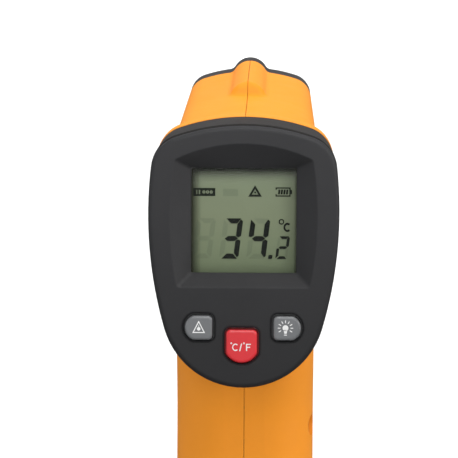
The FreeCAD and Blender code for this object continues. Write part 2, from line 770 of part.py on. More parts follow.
# ------------------------------------------------------------------ display head: rim
def face_pad(label, off, low, high, front_round=0.0, up=0.0):
    """The face outline, moved up by up, carried from low to high along the face's axis."""
    body = new_body(label)
    pad(body, outline(new_sketch(body, "XY_Plane", low), off, up), high - low)
    if front_round:
        fillet(body, lambda mid, tan: abs(mid.z - num(high)) < 1e-4, front_round)
    return body


def head_loft(label, *stations):
    """A blank between two stations (distance along the barrel axis from the face, growth)."""
    body = new_body(label)
    loft(body, head_sections(body, stations))
    return body


RIM_BACK = (VAL["plate_edge"] + VAL["seam"]) / TILT_COS.value
RIM_FRONT = VAL["rim_depth"]
SHRINK = VAL["rim_shrink"]
rim_outer, rim_inner, tongue_outer, tongue_forward, tongue_inner = [
    on_face(head_loft(label, *stations)) for label, *stations in (
        ("rim_outer", (RIM_BACK, 0.0), (RIM_FRONT, -SHRINK)),
        ("rim_inner", (RIM_BACK - 0.5, -2.0), (RIM_FRONT + 0.5, -2.0 - SHRINK)),
        ("rim_tongue_outer", (11.1, -1.2), (RIM_FRONT - 0.3, -1.2)),
        ("rim_tongue_forward", (11.3, -2.55), (15.2, -2.8)),
        ("rim_tongue_inner", (10.8, -4.0), (15.6, -4.2)))]
rim_ring = cut("rim_ring", rim_outer, rim_inner)
rim_tongue = cut("rim_tongue", fuse("rim_tongue_both", tongue_outer, tongue_forward),
                 tongue_inner)
node(fuse("bezel_rim_solid", rim_ring, rim_tongue), "bezel_rim")

# ------------------------------------------------------------------ display head: bezel
POSTS = [(0.0, 25.4), (-12.6, -9.6), (12.6, -9.6)]      # screw posts: x, up the face


def post_cylinders(label, rad, height, low):
    """A cylinder on each screw post's axis, from low upwards."""
    return [cylinder("%s_%d" % (label, i), rad, height, (x, y, low))
            for i, (x, y) in enumerate(POSTS)]


bezel_plate = face_pad("bezel_plate", 0.0, -dim("plate_edge"), 0.0, 1.1)
skirt = cut("bezel_skirt", head_loft("bezel_skirt_outer", (1.2, -2.2), (4.4, -2.4)),
            head_loft("bezel_skirt_inner", (1.76, -3.3), (4.8, -3.4)))
plinth = common("bezel_plinth", box("bezel_plinth_box", (36.0, 34.4, 3.9), (-18.0, -8.4, -4.9)),
                face_pad("bezel_plinth_trim", -2.4, -4.95, -0.5))
bezel = fuse("bezel_solid", bezel_plate, skirt, plinth,
             *post_cylinders("bezel_post", 1.9, 7.4, -8.9))


def recess_outline(sketch, top_half, foot_half, bow, low, high, arch_rad):
    """A straight foot, bowed sides and an arched top."""
    bulge, middle = (top_half + foot_half) / 2 + bow, (low + high) / 2
    arch_y = high - math.sqrt(arch_rad ** 2 - top_half ** 2)
    start = math.acos(top_half / arch_rad)
    add_line(sketch, (-foot_half, low), (foot_half, low))
    sketch.addGeometry(Part.Arc(Vector(foot_half, low, 0), Vector(bulge, middle, 0),
                                Vector(top_half, high, 0)), False)
    sketch.addGeometry(arc_of((0, arch_y), arch_rad, start, math.pi - start), False)
    sketch.addGeometry(Part.Arc(Vector(-top_half, high, 0), Vector(-bulge, middle, 0),
                                Vector(-foot_half, low, 0)), False)
    close_up(sketch)


def recess_tool():
    """The sloping pocket round the display: a wide mouth and a smaller floor."""
    body = new_body("recess_tool")
    mouth = new_sketch(body)
    recess_outline(mouth, *[VAL["recess_" + name] for name in
                            ("top_hw", "foot_hw", "bow", "low", "corner_up", "arch_rad")])
    floor = new_sketch(body, "XY_Plane", -dim("recess_deep"))
    floor_half = VAL["win_hw"] + 0.05
    recess_outline(floor, floor_half, floor_half, 0.04, VAL["win_low"] - 0.05,
                   VAL["win_high"], 400.0)
    loft(body, [mouth, floor], ruled=True)
    fillet(body, lambda mid, tan: abs(tan.z) > 0.3, 1.0, may_fail=True)
    return body


WIN_HALF, WIN_LOW = dim("win_hw"), dim("win_low")
bezel_tools = [
    recess_tool(),
    box("window_hole", (WIN_HALF * 2, dim("win_high") - WIN_LOW, 6.0), (-WIN_HALF, WIN_LOW, -6.0)),
    box("window_seat", (26.2, 26.1, 3.0), (-13.1, -4.8, -6.55)),
]
bezel_holes = post_cylinders("bezel_screw_hole", 0.85, 5.5, -9.0)


def round_end_key(sketch, x, y, width, height, grow):
    """One straight and one round end, the round one on the left; on the right if width < 0."""
    side = math.copysign(1.0, width)
    half_w, half_h = abs(width) / 2 + grow, height / 2 + grow
    rad = half_h * 1.06
    centre_x = x - side * (half_w - rad)
    sweep = math.asin(half_h / rad)
    flat_x, near_x = x + side * half_w, centre_x - side * rad * math.cos(sweep)
    corners = [(near_x, y + half_h), (flat_x, y + half_h), (flat_x, y - half_h),
               (near_x, y - half_h)]
    for start, end in zip(corners, corners[1:]):
        add_line(sketch, start, end)
    middle = math.pi if side > 0 else 0.0
    sketch.addGeometry(arc_of((centre_x, y), rad, middle - sweep, middle + sweep), False)
    close_up(sketch)


def shield_key(sketch, x, y, width, height, grow):
    """Flat top, straight flanks, rounded bottom."""
    half_w, half_h = width / 2 + grow, height / 2 + grow
    rad = half_w * 1.12
    sweep = math.asin(half_w / rad)
    centre_y, top = y - half_h + rad, y + half_h
    low = centre_y - rad * math.cos(sweep)
    corners = [(x - half_w, low), (x - half_w, top), (x + half_w, top), (x + half_w, low)]
    for start, end in zip(corners, corners[1:]):
        add_line(sketch, start, end)
    down = -math.pi / 2
    sketch.addGeometry(arc_of((x, centre_y), rad, down - sweep, down + sweep), False)
    close_up(sketch)


SIDE_X, SIDE_UP = VAL["side_key_x"], VAL["side_key_up"]
SIDE_W, SIDE_HT = VAL["side_key_w"], VAL["side_key_ht"]
KEYS = [    # name, outline, and its x, y, width and height
    ("laser_button", round_end_key, (-SIDE_X, SIDE_UP, SIDE_W, SIDE_HT)),
    ("backlight_button", round_end_key, (SIDE_X, SIDE_UP, -SIDE_W, SIDE_HT)),
    ("unit_button", shield_key, (-0.27, VAL["mid_key_up"], VAL["mid_key_w"], VAL["mid_key_ht"])),
]


def key_pad(label, draw, spot, grow, low, high, top_round=0.0):
    """A key outline grown by grow, from low to high, with rounded upright corners."""
    body = new_body(label)
    sketch = new_sketch(body, "XY_Plane", low)
    draw(sketch, *spot, grow)
    pad(body, sketch, high - low)
    fillet(body, lambda mid, tan: abs(abs(tan.z) - 1) < 1e-5, 1.0 + grow, may_fail=True)
    if top_round:
        fillet(body, lambda mid, tan: abs(mid.z - num(high)) < 1e-4, top_round, may_fail=True)
    return body


KEY_GAP = VAL["key_gap"]
for name, draw, spot in KEYS:
    bezel_tools.append(key_pad(name + "_hole", draw, spot, KEY_GAP, -3.0, 0.5))
    bezel_tools.append(key_pad(name + "_flare", draw, spot, KEY_GAP + 0.3, -0.35, 0.5))
face_node(cut("bezel_cut", bezel, fuse("bezel_tools", *(bezel_tools + bezel_holes))),
          "display_bezel")
node(face_box("window_sheet", (26.0, 25.9, 1.2), (-13.0, -4.7, -4.8)), "display_window")
for name, draw, spot in KEYS:
    cap = key_pad(name + "_cap", draw, spot, 0.0, -2.5, dim("key_proud"), 0.55)
    flange = key_pad(name + "_flange", draw, spot, 0.5, -3.4, -2.4)
    stub = cylinder(name + "_stub", 1.3, 1.2, (spot[0], spot[1], -4.5))
    face_node(fuse(name + "_solid", cap, flange, stub), name)


# ------------------------------------------------------------------ trigger
SPRING_Z = 84.5
SWITCH_Z = 104.6
TRIGGER = [     # side view, anticlockwise or clockwise alike: y, z, rounding radius
    (30.8, 118.6, 0.0), (29.6, 106.0, 6.0), (27.2, 96.0, 20.0), (26.0, 80.0, 6.0),
    (25.6, 74.2, 1.5), (30.0, 73.2, 3.0), (36.0, 73.6, 3.0), (40.6, 75.4, 1.6),
    (38.6, 82.0, 18.0), (38.2, 92.0, 24.0), (41.4, 104.0, 16.0), (43.6, 113.0, 6.0),
    (41.0, 118.6, 0.0),
]


def trigger_blade():
    """The blade, rounded along its front edges below the barrel."""
    body = new_body("trigger_blade")
    sketch = new_sketch(body, "YZ_Plane")
    rounded_poly(sketch, TRIGGER)
    pad(body, sketch, TRIGGER_W, sym=True)
    fillet(body, lambda mid, tan: (abs(abs(mid.x) - TRIGGER_W.value / 2) < 1e-4
                                   and mid.y > 35.0 and mid.z < 112.5 and abs(tan.x) < 1e-3),
           2.2, may_fail=True)
    return body


blade = trigger_blade()
hub = rod_x("trigger_hub", 3.1, TRIGGER_W, -TRIGGER_W / 2, *PIVOT)
trigger_tools = fuse("trigger_tools",
                     side_box("trigger_top_trim", -10.0, 10.0, 25.0, 50.0, 116.0, 122.0),
                     side_box("trigger_relief", -4.6, 4.6, 20.0, 33.4, 76.0, 98.0),
                     side_box("trigger_top_front", -10.0, 10.0, 40.2, 50.0, 111.6, 122.0))
spring_post = rod_y("trigger_spring_post", 1.5, 3.0, 0, 30.5, SPRING_Z)
trigger_joined = fuse("trigger_joined", cut("trigger_cut_0", blade, trigger_tools), hub,
                      spring_post)
trigger_bore = rod_x("trigger_bore", PIVOT_RAD + 0.05, 20.0, -10.0, *PIVOT)
node(cut("trigger_solid", trigger_joined, trigger_bore), "trigger")
node(rod_x("pivot_pin_rod", PIVOT_RAD, 25.0, -12.5, *PIVOT), "trigger_pivot_pin")
spring = coil("return_spring_coil", rad=2.3, thick=0.6, length=14.4, turns=6)
node(place(spring, (0, 16.75, SPRING_Z), ALONG_Y), "trigger_return_spring")

# microswitch worked by the back of the trigger, with its small board
node(side_box("trigger_board_sheet", -9.0, 9.0, 17.0, 18.2, 97.0, 111.5), "trigger_board")
switch_case = fuse("trigger_switch_case",
                   side_box("switch_case_a", -3.3, 3.3, 18.25, 24.3, SWITCH_Z - 3.2,
                            SWITCH_Z + 3.2),
                   side_box("switch_case_b", -2.3, 2.3, 24.2, 25.0, SWITCH_Z - 2.2,
                            SWITCH_Z + 2.2))
node(cut("trigger_switch_case_solid", switch_case,
         rod_y("switch_case_bore", 1.35, 4.0, 0, 21.8, SWITCH_Z)), "trigger_switch_body")
node(rod_y("switch_plunger_rod", 1.3, 4.5, 0, 24.2, SWITCH_Z), "trigger_switch_plunger")

# ------------------------------------------------------------------ battery door
GROOVE_TOP_Z, GROOVE_PITCH = 66.0, 2.8      # cross grooves on the outside of the door
door_area = fuse("door_zone", door_zone("door_zone_front", 0.0),
                 rod_x("door_zone_knuckle", KNUCKLE_RAD, 2 * HALF_SPAN, -HALF_SPAN, *HINGE))
door_outside = common("door_outside", door_area, grip_form("door_grip", 0.0))
door_skin = cut("door_skin", door_outside, grip_form("door_grip_in", WALL))
knuckle = common("door_knuckle", rod_x("door_knuckle_rod", KNUCKLE_RAD, 12.0, -6.0, *HINGE),
                 door_outside)
grooves = []
for i in range(5):
    drop = GROOVE_PITCH * i
    grooves.append(rod_x("door_groove_%d" % i, 0.7, 18.0, -9.0, 26.05 - drop * 0.103,
                         GROOVE_TOP_Z - drop))
stiffener_pair = fuse("door_stiffener_pair", *[
    side_box("door_stiffener_%d" % i, -11.5, 11.5, 17.0, 24.5, z, z + 1.2)
    for i, z in enumerate((24.0, 44.0))])
door_joined = fuse("door_joined", door_skin, knuckle,
                   common("door_stiffeners", stiffener_pair, door_outside))
cell_room = cradle_box("door_cell_room", (25.0, 12.0, 70.0), (-12.5, -6.0, -6.0))
lug_rooms = [rod_x("door_lug_room_%d" % i, 2.45, LUG_LEN + 0.6, x - 0.3, *HINGE)
             for i, x in enumerate(LUG_XS)]
door_tools = fuse("door_tools", rod_x("door_bore", DOOR_PIN_RAD + 0.05, 19.4, -9.7, *HINGE),
                  cell_room, *(lug_rooms + grooves))
node(cut("battery_door_solid", door_joined, door_tools), "battery_door")
node(rod_x("hinge_pin_rod", DOOR_PIN_RAD, 18.6, -9.3, *HINGE), "battery_door_hinge_pin")

# ------------------------------------------------------------------ batteries and cradle
CELL_RAD, CELL_LEN = dim("cell_rad"), dim("cell_len")
CELL_X = 5.6            # each cell's axis from the middle plane
CAVITY = 48.6           # inner length of the cradle
tray = cradle_box("cradle_outer", (24.6, 9.8, CAVITY + 2.2), (-12.3, -6.8, -1.1))
cradle_tools = fuse(
    "cradle_tools",
    cradle_box("cradle_inner", (22.6, 12.0, CAVITY), (-11.3, -5.7, 0.0)),
    in_cradle(cylinder("cradle_bay_left", CELL_RAD + 0.15, CAVITY), -CELL_X, 0.0, 0.0),
    cradle_box("cradle_slot", (3.0, 3.0, 1.5), (-1.5, -7.5, CAVITY - 3.0)),
    rod_x("cradle_knuckle_room", 4.3, 2 * HALF_SPAN, -HALF_SPAN, *HINGE))
node(cut("battery_cradle_solid", tray, cradle_tools), "battery_cradle")


def cell(label):
    """A battery standing on its flat end, with its button on top."""
    return spin(label, [
        (0, 0), (0, CELL_RAD - 0.4), (0.4, CELL_RAD), (CELL_LEN - 1.6, CELL_RAD),
        (CELL_LEN - 1.1, CELL_RAD - 0.5), (CELL_LEN - 1.1, 1.9), (CELL_LEN - 0.1, 1.9),
        (CELL_LEN, 1.6), (CELL_LEN, 0)])


node(in_cradle(cell("battery_left"), -CELL_X, 0.0, 3.6), "battery_left")
node(in_cradle(cell("battery_right"), CELL_X, 0.0, 0.5 + VAL["cell_len"], UPSIDE_DOWN),
     "battery_right")
contact_spots = [(x, z) for z in (0.03, CAVITY - 0.4) for x in (-CELL_X, CELL_X)]
node(fuse("battery_contacts_group", *[
    cradle_box("contact_%d" % i, (8.4, 8.0, 0.37), (x - 4.2, -4.6, z))
    for i, (x, z) in enumerate(contact_spots)]), "battery_contacts")
low_spring = coil("battery_spring_low", rad=2.6, thick=0.6, length=3.1, turns=3)
high_spring = coil("battery_spring_high", rad=2.6, thick=0.6, length=3.0, turns=3)
node(fuse("battery_springs_group", in_cradle(low_spring, -CELL_X, 0.0, 0.43),
          in_cradle(high_spring, CELL_X, 0.0, 45.1)), "battery_springs")

# ------------------------------------------------------------------ optics
TUBE_BACK = 39.2
# x and z of the four sensor legs from the lens axis
LEGS = [(2.4 * math.cos(a), 2.4 * math.sin(a)) for a in (0.785, 2.356, 3.927, 5.498)]


def leg_rods(label, rad, length, y):
    return [rod_y("%s_%d" % (label, i), rad, length, x, y, VAL["lens_z"] + z)
            for i, (x, z) in enumerate(LEGS)]


node(spin_y("optics_tube_solid", TUBE_BACK, LENS_Z, [
    (0, 4.9), (0, 8.5), (31.2, 8.5), (31.2, 8.06), (30.0, 8.06), (30.0, 7.5), (5.0, 6.2),
    (4.2, 4.9)]), "optics_tube")
# nine saw-toothed rings on the front of the lens
lens_points = [(0, 0), (0, 8.0), (0.55, 8.0)]
for i in range(9):
    ring_rad = 7.9 - 0.8 * i
    lens_points += [(0.8, ring_rad), (0.5, ring_rad - 0.72)]
lens_points += [(0.8, 0.7), (0.85, 0)]
node(spin_y("fresnel_lens_solid", 69.3, LENS_Z, lens_points), "fresnel_lens")
thermopile = spin_y("thermopile_solid", TUBE_BACK, LENS_Z, [
    (0, 0), (0, 4.6), (0.6, 4.6), (0.6, 4.1), (3.5, 4.1), (3.8, 3.8), (3.8, 1.6), (3.6, 1.6),
    (3.6, 0)])
node(fuse("thermopile_group", thermopile, *leg_rods("sensor_leg", 0.22, 3.2, 36.1)),
     "thermopile_sensor")
sensor_sheet = side_box("sensor_board_sheet", -9.0, 9.0, 37.9, 39.1, 120.2, 137.8)
node(cut("sensor_board_solid", sensor_sheet,
         fuse("sensor_board_holes", *leg_rods("sensor_board_hole", 0.3, 4.0, 36.6))),
     "sensor_board")
node(cut("sensor_connector_solid",
         side_box("sensor_connector_case", -5.0, 5.0, 33.2, 37.8, 131.6, 136.0),
         side_box("sensor_connector_slot", -4.2, 4.2, 32.0, 36.8, 132.4, 135.2)),
     "sensor_connector")
node(spin_y("laser_module_solid", 54.0, LASER_Z, [
    (0, 0), (0, 3.0), (16.6, 3.0), (17.0, 2.6), (17.0, 1.2), (16.2, 0.9), (16.2, 0)]),
    "laser_module")

# ------------------------------------------------------------------ display electronics
FACE_SHEETS = [     # object, piece, size, and lower left corner in the face frame
    ("lcd_sheet", "lcd_panel", (25.6, 25.4, 2.0), (-12.8, -4.45, -7.0)),
    ("backlight_sheet", "lcd_backlight", (25.6, 25.4, 1.6), (-12.8, -4.45, -8.7)),
    ("zebra_strip", "lcd_zebra_strip", (24.0, 1.6, 3.6), (-12.0, -6.2, -8.9)),
]
for name, piece, size, pos in FACE_SHEETS:
    node(face_box(name, size, pos), piece)

holder_outer = common("lcd_holder_out",
                      box("lcd_holder_box", (29.4, 30.4, 3.9), (-14.7, -7.4, -8.9)),
                      face_pad("lcd_holder_trim", -4.4, -8.95, -4.0, up=1.75))
holder_inner = box("lcd_holder_in", (25.8, 27.6, 6.0), (-12.9, -6.35, -10.0))
holder_posts = fuse("lcd_holder_posts",
                    *post_cylinders("lcd_holder_post_clear", 2.15, 8.0, -11.0))
face_node(cut("lcd_holder_solid", cut("lcd_holder_cut", holder_outer, holder_inner),
              holder_posts), "lcd_holder")
face_node(cut("main_board_solid", face_pad("main_board_sheet", -4.0, -10.55, -8.95, up=2.6),
              fuse("board_holes", *post_cylinders("board_hole", 0.95, 4.0, -12.0))),
          "main_board")

SWITCH_SIZE = 5.2       # side of the square switch under each key
key_switches = []
for name, _, (x, y, *_) in KEYS:
    corner = (x - SWITCH_SIZE / 2, y - SWITCH_SIZE / 2, -8.9)
    key_switches.append(cut(name + "_switch",
                            box(name + "_switch_case", (SWITCH_SIZE, SWITCH_SIZE, 2.6), corner),
                            cylinder(name + "_switch_bore", 1.65, 3.0, (x, y, -8.6))))
    node(on_face(cylinder(name + "_stem", 1.6, 3.4), x, y, -7.95),
         name.replace("_button", "_switch_stem"))
face_node(fuse("key_switch_group", *key_switches), "key_switch_bodies")

chip = [box("controller_body", (10.0, 10.0, 1.4), (-8.0, 2.0, -12.1))]
for i in range(8):
    for row_name, y in (("a", 0.9), ("b", 11.9)):
        chip.append(box("leg_%s%d" % (row_name, i), (0.45, 1.2, 0.45),
                        (-7.4 + i * 1.26, y, -11.1)))
face_node(fuse("controller_solid", *chip), "controller_chip")
face_node(cut("buzzer_solid", cylinder("buzzer_case", 5.0, 4.0, (8.5, 15.0, -14.65)),
              cylinder("buzzer_mouth", 1.1, 1.5, (8.5, 15.0, -14.9))), "buzzer")

COMPONENTS = [      # x, y, width, height and thickness on the board
    (7.0, 2.0, 1.6, 0.8, 1.0), (7.0, 4.4, 1.6, 0.8, 1.0), (10.2, 2.0, 1.6, 0.8, 1.0),
    (10.2, 4.4, 1.6, 0.8, 1.0), (-12.6, 15.0, 3.2, 1.6, 1.0), (-8.0, 16.2, 2.0, 1.2, 1.0),
    (-3.6, 16.2, 2.0, 1.2, 1.0), (3.0, -14.0, 2.0, 1.2, 1.0), (-7.0, -12.0, 2.0, 1.2, 1.0),
    (6.4, 7.4, 7.0, 2.6, 2.2),
]
face_node(fuse("board_parts_group", *[
    box("small_part_%d" % i, (width, height, thick), (x, y, -10.65 - thick))
    for i, (x, y, width, height, thick) in enumerate(COMPONENTS)]), "board_components")
face_node(cut("board_connector_cut",
              box("board_connector_case", (11.0, 5.0, 4.4), (-5.5, -6.6, -15.05)),
              box("board_connector_slot", (9.8, 3.8, 3.6), (-4.9, -6.0, -15.4))),
          "board_connector")


# ------------------------------------------------------------------ screws
def screw(label, head_rad, head_height, shank_rad, shank_len):
    """A screw about Z, its head upwards from z = 0, with a cross recess."""
    body = spin(label, [
        (-shank_len, 0), (-shank_len, shank_rad * 0.4), (-shank_len + 1.2, shank_rad),
        (0, shank_rad), (0, head_rad), (head_height * 0.45, head_rad),
        (head_height, head_rad * 0.7), (head_height, 0)])
    cross = new_sketch(body, "XY_Plane", head_height)
    w, l = head_rad * 0.14, head_rad * 0.6      # half width and half length of the cross
    poly(cross, [(-w, -l), (w, -l), (w, -w), (l, -w), (l, w), (w, w),
                 (w, l), (-w, l), (-w, w), (-l, w), (-l, -w), (-w, -w)])
    pocket(body, cross, head_height * 0.6)
    return body


board_screws = [place(screw("board_screw_%d" % i, 1.7, 1.1, 0.8, 6.2), (x, y, -10.6), UPSIDE_DOWN)
                for i, (x, y) in enumerate(POSTS)]
face_node(fuse("board_screws_group", *board_screws), "board_screws")
shell_screws = [place(screw("shell_screw_%d" % i, 2.3, 1.7, 1.15, 17.5), (9.03, y, z), ALONG_X)
                for i, (y, z) in enumerate(SCREWS)]
node(fuse("shell_screws_group", *shell_screws), "shell_screws")


# ------------------------------------------------------------------ leads
def face_point(x, up, out):
    """World position of a point given in the face frame."""
    return tuple(FACE.multVec(Vector(x, up, out)))


def cradle_point(x, y, z):
    """World position of a point given in the cradle's frame."""
    return tuple(CRADLE.multVec(Vector(x, y, z)))


def sensor_path(x):
    return [(x, 36.0, 133.8), (x, 31.5, 133.4), (x, 25.0, 130.5 - abs(x)),
            (x, 14.0, 126.5 - abs(x)), (x, 6.5, 119.0 - 0.3 * abs(x)),
            face_point(x, -4.1, -17.0), face_point(x, -4.1, -12.4)]


def laser_path(x):
    return [(x, 53.8, 147.4), (x, 49.0, 146.8), (1.2 * x, 44.0, 145.4), (1.5 * x, 36.0, 144.9),
            (1.5 * x, 24.0, 144.7), (1.3 * x, 13.0, 143.6), (1.1 * x, 6.0, 140.6),
            face_point(x, 19.0, -11.1)]


def trigger_path(x):
    return [(x, 16.5, 108.0), (x, 13.0, 108.4), (x, 8.0, 107.5), (x * 0.9, 2.0, 106.0),
            face_point(x * 0.9, -12.0, -11.1)]


def battery_path(x):
    return [cradle_point(x, -3.0, CAVITY + 1.2), cradle_point(x, -3.6, CAVITY + 5.0),
            (x * 0.9, 9.2, 76.0), (x * 0.9, 8.4, 92.0), (x * 0.8, 4.5, 101.0),
            face_point(x * 0.8, -17.4, -11.1)]


HARNESSES = [   # lead, piece, path, x of each lead, radius
    ("sensor_lead", "sensor_harness", sensor_path, (-3.0, -1.0, 1.0, 3.0), 0.45),
    ("laser_lead", "laser_leads", laser_path, (-0.9, 0.9), 0.4),
    ("trigger_lead", "trigger_leads", trigger_path, (-5.2, 5.2), 0.4),
    ("battery_lead", "battery_leads", battery_path, (-6.0, 6.0), 0.45),
]
for name, piece, path, xs, rad in HARNESSES:
    leads = [lead("%s_%d" % (name, i), path(x), rad) for i, x in enumerate(xs)]
    node(fuse(piece + "_group", *leads), piece)


# ------------------------------------------------------------------ checks and files
doc.recompute()
for obj in doc.Objects:
    if "Invalid" in obj.State or "Error" in obj.State:
        raise SystemExit("object in error: %s %s" % (obj.Label, obj.State))
labels = [label for _, label in NODES]
if len(set(labels)) != len(labels):
    raise SystemExit("two pieces share a name")
for obj, label in NODES:
    if obj.Shape.isNull() or not obj.Shape.isValid() or not obj.Shape.Solids:
        raise SystemExit("bad shape: " + label)
os.makedirs("parts", exist_ok=True)
for old in os.listdir("parts"):
    if old.endswith(".step") and old[:-5] not in labels:
        os.remove(os.path.join("parts", old))
for obj, label in NODES:
    obj.Shape.exportStep(os.path.join("parts", label + ".step"))
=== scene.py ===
"""Infrared thermometer: materials, display, key legends, return spring and studio.

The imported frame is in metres, +Z up. The display face looks towards -Y and tilts upwards; X runs
across it. Sizes here are millimetres unless a comment says otherwise.
"""
import bpy
import bmesh
import json
import math
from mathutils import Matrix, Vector


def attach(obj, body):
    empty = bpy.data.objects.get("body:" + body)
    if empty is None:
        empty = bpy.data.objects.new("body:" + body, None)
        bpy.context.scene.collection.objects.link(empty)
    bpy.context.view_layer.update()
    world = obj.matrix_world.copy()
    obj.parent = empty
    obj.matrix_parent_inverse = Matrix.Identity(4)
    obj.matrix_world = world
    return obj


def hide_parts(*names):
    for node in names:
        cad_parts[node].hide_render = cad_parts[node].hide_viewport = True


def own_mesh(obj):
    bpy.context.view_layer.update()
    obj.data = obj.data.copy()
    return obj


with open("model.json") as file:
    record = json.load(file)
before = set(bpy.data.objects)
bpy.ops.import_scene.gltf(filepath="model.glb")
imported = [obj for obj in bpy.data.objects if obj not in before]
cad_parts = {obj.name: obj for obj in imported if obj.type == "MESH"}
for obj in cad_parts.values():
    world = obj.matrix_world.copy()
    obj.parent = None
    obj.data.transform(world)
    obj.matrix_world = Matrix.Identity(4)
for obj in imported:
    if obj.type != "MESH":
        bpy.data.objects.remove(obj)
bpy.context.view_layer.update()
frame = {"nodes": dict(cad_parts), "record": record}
scene = bpy.context.scene

MM = 0.001      # metres in a millimetre

# the display face: its origin, the direction up along it and the direction out of it
TILT = math.radians(15.0)
FACE = Vector((0.0, -14.0, 121.8))
UP = Vector((0.0, math.sin(TILT), math.cos(TILT)))
OUT = Vector((0.0, -math.cos(TILT), math.sin(TILT)))

LENS_Z = 129.0                  # height of the ring lens axis, which runs along Y
CELL_BAND_Z = (43.6, 43.8)      # where the dark wrap of a cell turns into the bright band
CELL_END_Z = (57.3, 57.5)       # where the band gives way to the bare end


def srgb(*channels):
    """Linear colour of an 8-bit display colour."""
    parts = [channel / 255.0 for channel in channels]
    return tuple(v / 12.92 if v <= 0.04045 else ((v + 0.055) / 1.055) ** 2.4 for v in parts)


# ------------------------------------------------------------------ shader building
class Graph:
    """Writes shader nodes. Apart from put and add, the helpers return output sockets."""

    def __init__(self, tree):
        self.tree = tree

    def put(self, node, key, value):
        """Link an output socket to an input, or set the input's value."""
        socket = node.inputs[key]
        if isinstance(value, bpy.types.NodeSocket):
            self.tree.links.new(value, socket)
        elif socket.type == "RGBA":
            socket.default_value = (*value, 1.0)
        else:
            socket.default_value = value

    def add(self, kind, *in_order, props=(), **by_name):
        """A node with its properties, then its inputs by position or by name (_ for a space)."""
        node = self.tree.nodes.new(kind)
        for key, value in dict(props).items():
            setattr(node, key, value)
        for i, value in enumerate(in_order):
            self.put(node, i, value)
        for key, value in by_name.items():
            self.put(node, key.replace("_", " "), value)
        return node

    def coord(self, stretch=(1.0, 1.0, 1.0)):
        """Object coordinates in millimetres, each axis times its stretch."""
        place = self.add("ShaderNodeTexCoord").outputs["Object"]
        scale = [1000.0 * v for v in stretch]
        return self.add("ShaderNodeMapping", Vector=place, Scale=scale).outputs["Vector"]

    def noise(self, pos, scale, detail=3.0, rough=0.5, warp=0.0):
        return self.add("ShaderNodeTexNoise", Vector=pos, Scale=scale, Detail=detail,
                        Roughness=rough, Distortion=warp).outputs["Fac"]

    def voronoi(self, pos, scale, smooth=None):
        if smooth is None:
            node = self.add("ShaderNodeTexVoronoi", Vector=pos, Scale=scale)
        else:
            node = self.add("ShaderNodeTexVoronoi", props={"feature": "SMOOTH_F1"},
                            Vector=pos, Scale=scale, Smoothness=smooth)
        return node.outputs["Distance"]

    def ramp(self, fac, stops):
        """Colour ramp through (position, colour) stops."""
        node = self.add("ShaderNodeValToRGB", Fac=fac)
        elements = node.color_ramp.elements
        while len(elements) < len(stops):
            elements.new(0.5)
        for element, (position, colour) in zip(elements, stops):
            element.position = position
            element.color = (*colour, 1.0)
        return node.outputs["Color"]

    def span(self, fac, start=0.3, end=0.7, low=0.0, high=1.0):
        """Maps start..end to low..high, clamped. The default range suits most noise."""
        node = self.add("ShaderNodeMapRange", props={"clamp": True}, Value=fac, From_Min=start,
                        From_Max=end, To_Min=low, To_Max=high)
        return node.outputs["Result"]

    def math(self, operation, first, second=0.0):
        props = {"operation": operation}
        return self.add("ShaderNodeMath", first, second, props=props).outputs[0]

    def plus(self, first, second):
        return self.math("ADD", first, second)

    def minus(self, first, second):
        return self.math("SUBTRACT", first, second)

    def times(self, first, second):
        return self.math("MULTIPLY", first, second)

    def mix(self, fac, first, second, blend="MIX"):
        props = {"data_type": "RGBA", "blend_type": blend, "clamp_factor": True}
        node = self.add("ShaderNodeMix", props=props)
        # inputs 6 and 7 are the colour pair of this many-typed node
        for key, value in ((0, fac), (6, first), (7, second)):
            self.put(node, key, value)
        return node.outputs[2]

    def mix_shader(self, fac, first, second):
        return self.add("ShaderNodeMixShader", fac, first, second).outputs[0]

    def xyz(self, pos):
        return self.add("ShaderNodeSeparateXYZ", Vector=pos).outputs

    def light_path(self, ray):
        return self.add("ShaderNodeLightPath").outputs[ray]

    def face_up(self, axes):
        """Distance up the display face."""
        along_y = self.times(self.plus(axes["Y"], -FACE.y), math.sin(TILT))
        along_z = self.times(self.minus(axes["Z"], FACE.z), math.cos(TILT))
        return self.plus(along_y, along_z)

    def edges(self, radius):
        """1 along sharp edges and 0 on flat skin; and the softened normal."""
        soft = self.add("ShaderNodeBevel", props={"samples": 4}, Radius=radius * MM).outputs[0]
        normal = self.add("ShaderNodeNewGeometry").outputs["Normal"]
        dot = self.add("ShaderNodeVectorMath", soft, normal, props={"operation": "DOT_PRODUCT"})
        return self.span(dot.outputs["Value"], start=0.995, end=0.86), soft

    def bump(self, height, strength, depth, normal=None):
        node = self.add("ShaderNodeBump", Strength=strength, Height=height, Distance=depth * MM)
        if normal is not None:
            self.put(node, "Normal", normal)
        return node.outputs["Normal"]


class Material(Graph):
    """A new material with an empty graph and its output."""

    def __init__(self, name):
        self.material = bpy.data.materials.new(name)
        self.material.use_nodes = True
        super().__init__(self.material.node_tree)
        self.tree.nodes.clear()
        self.output = self.add("ShaderNodeOutputMaterial")

    def surface(self, shader):
        self.put(self.output, "Surface", shader)
        return self.material

    def principled(self, **inputs):
        return self.surface(self.add("ShaderNodeBsdfPrincipled", **inputs).outputs[0])


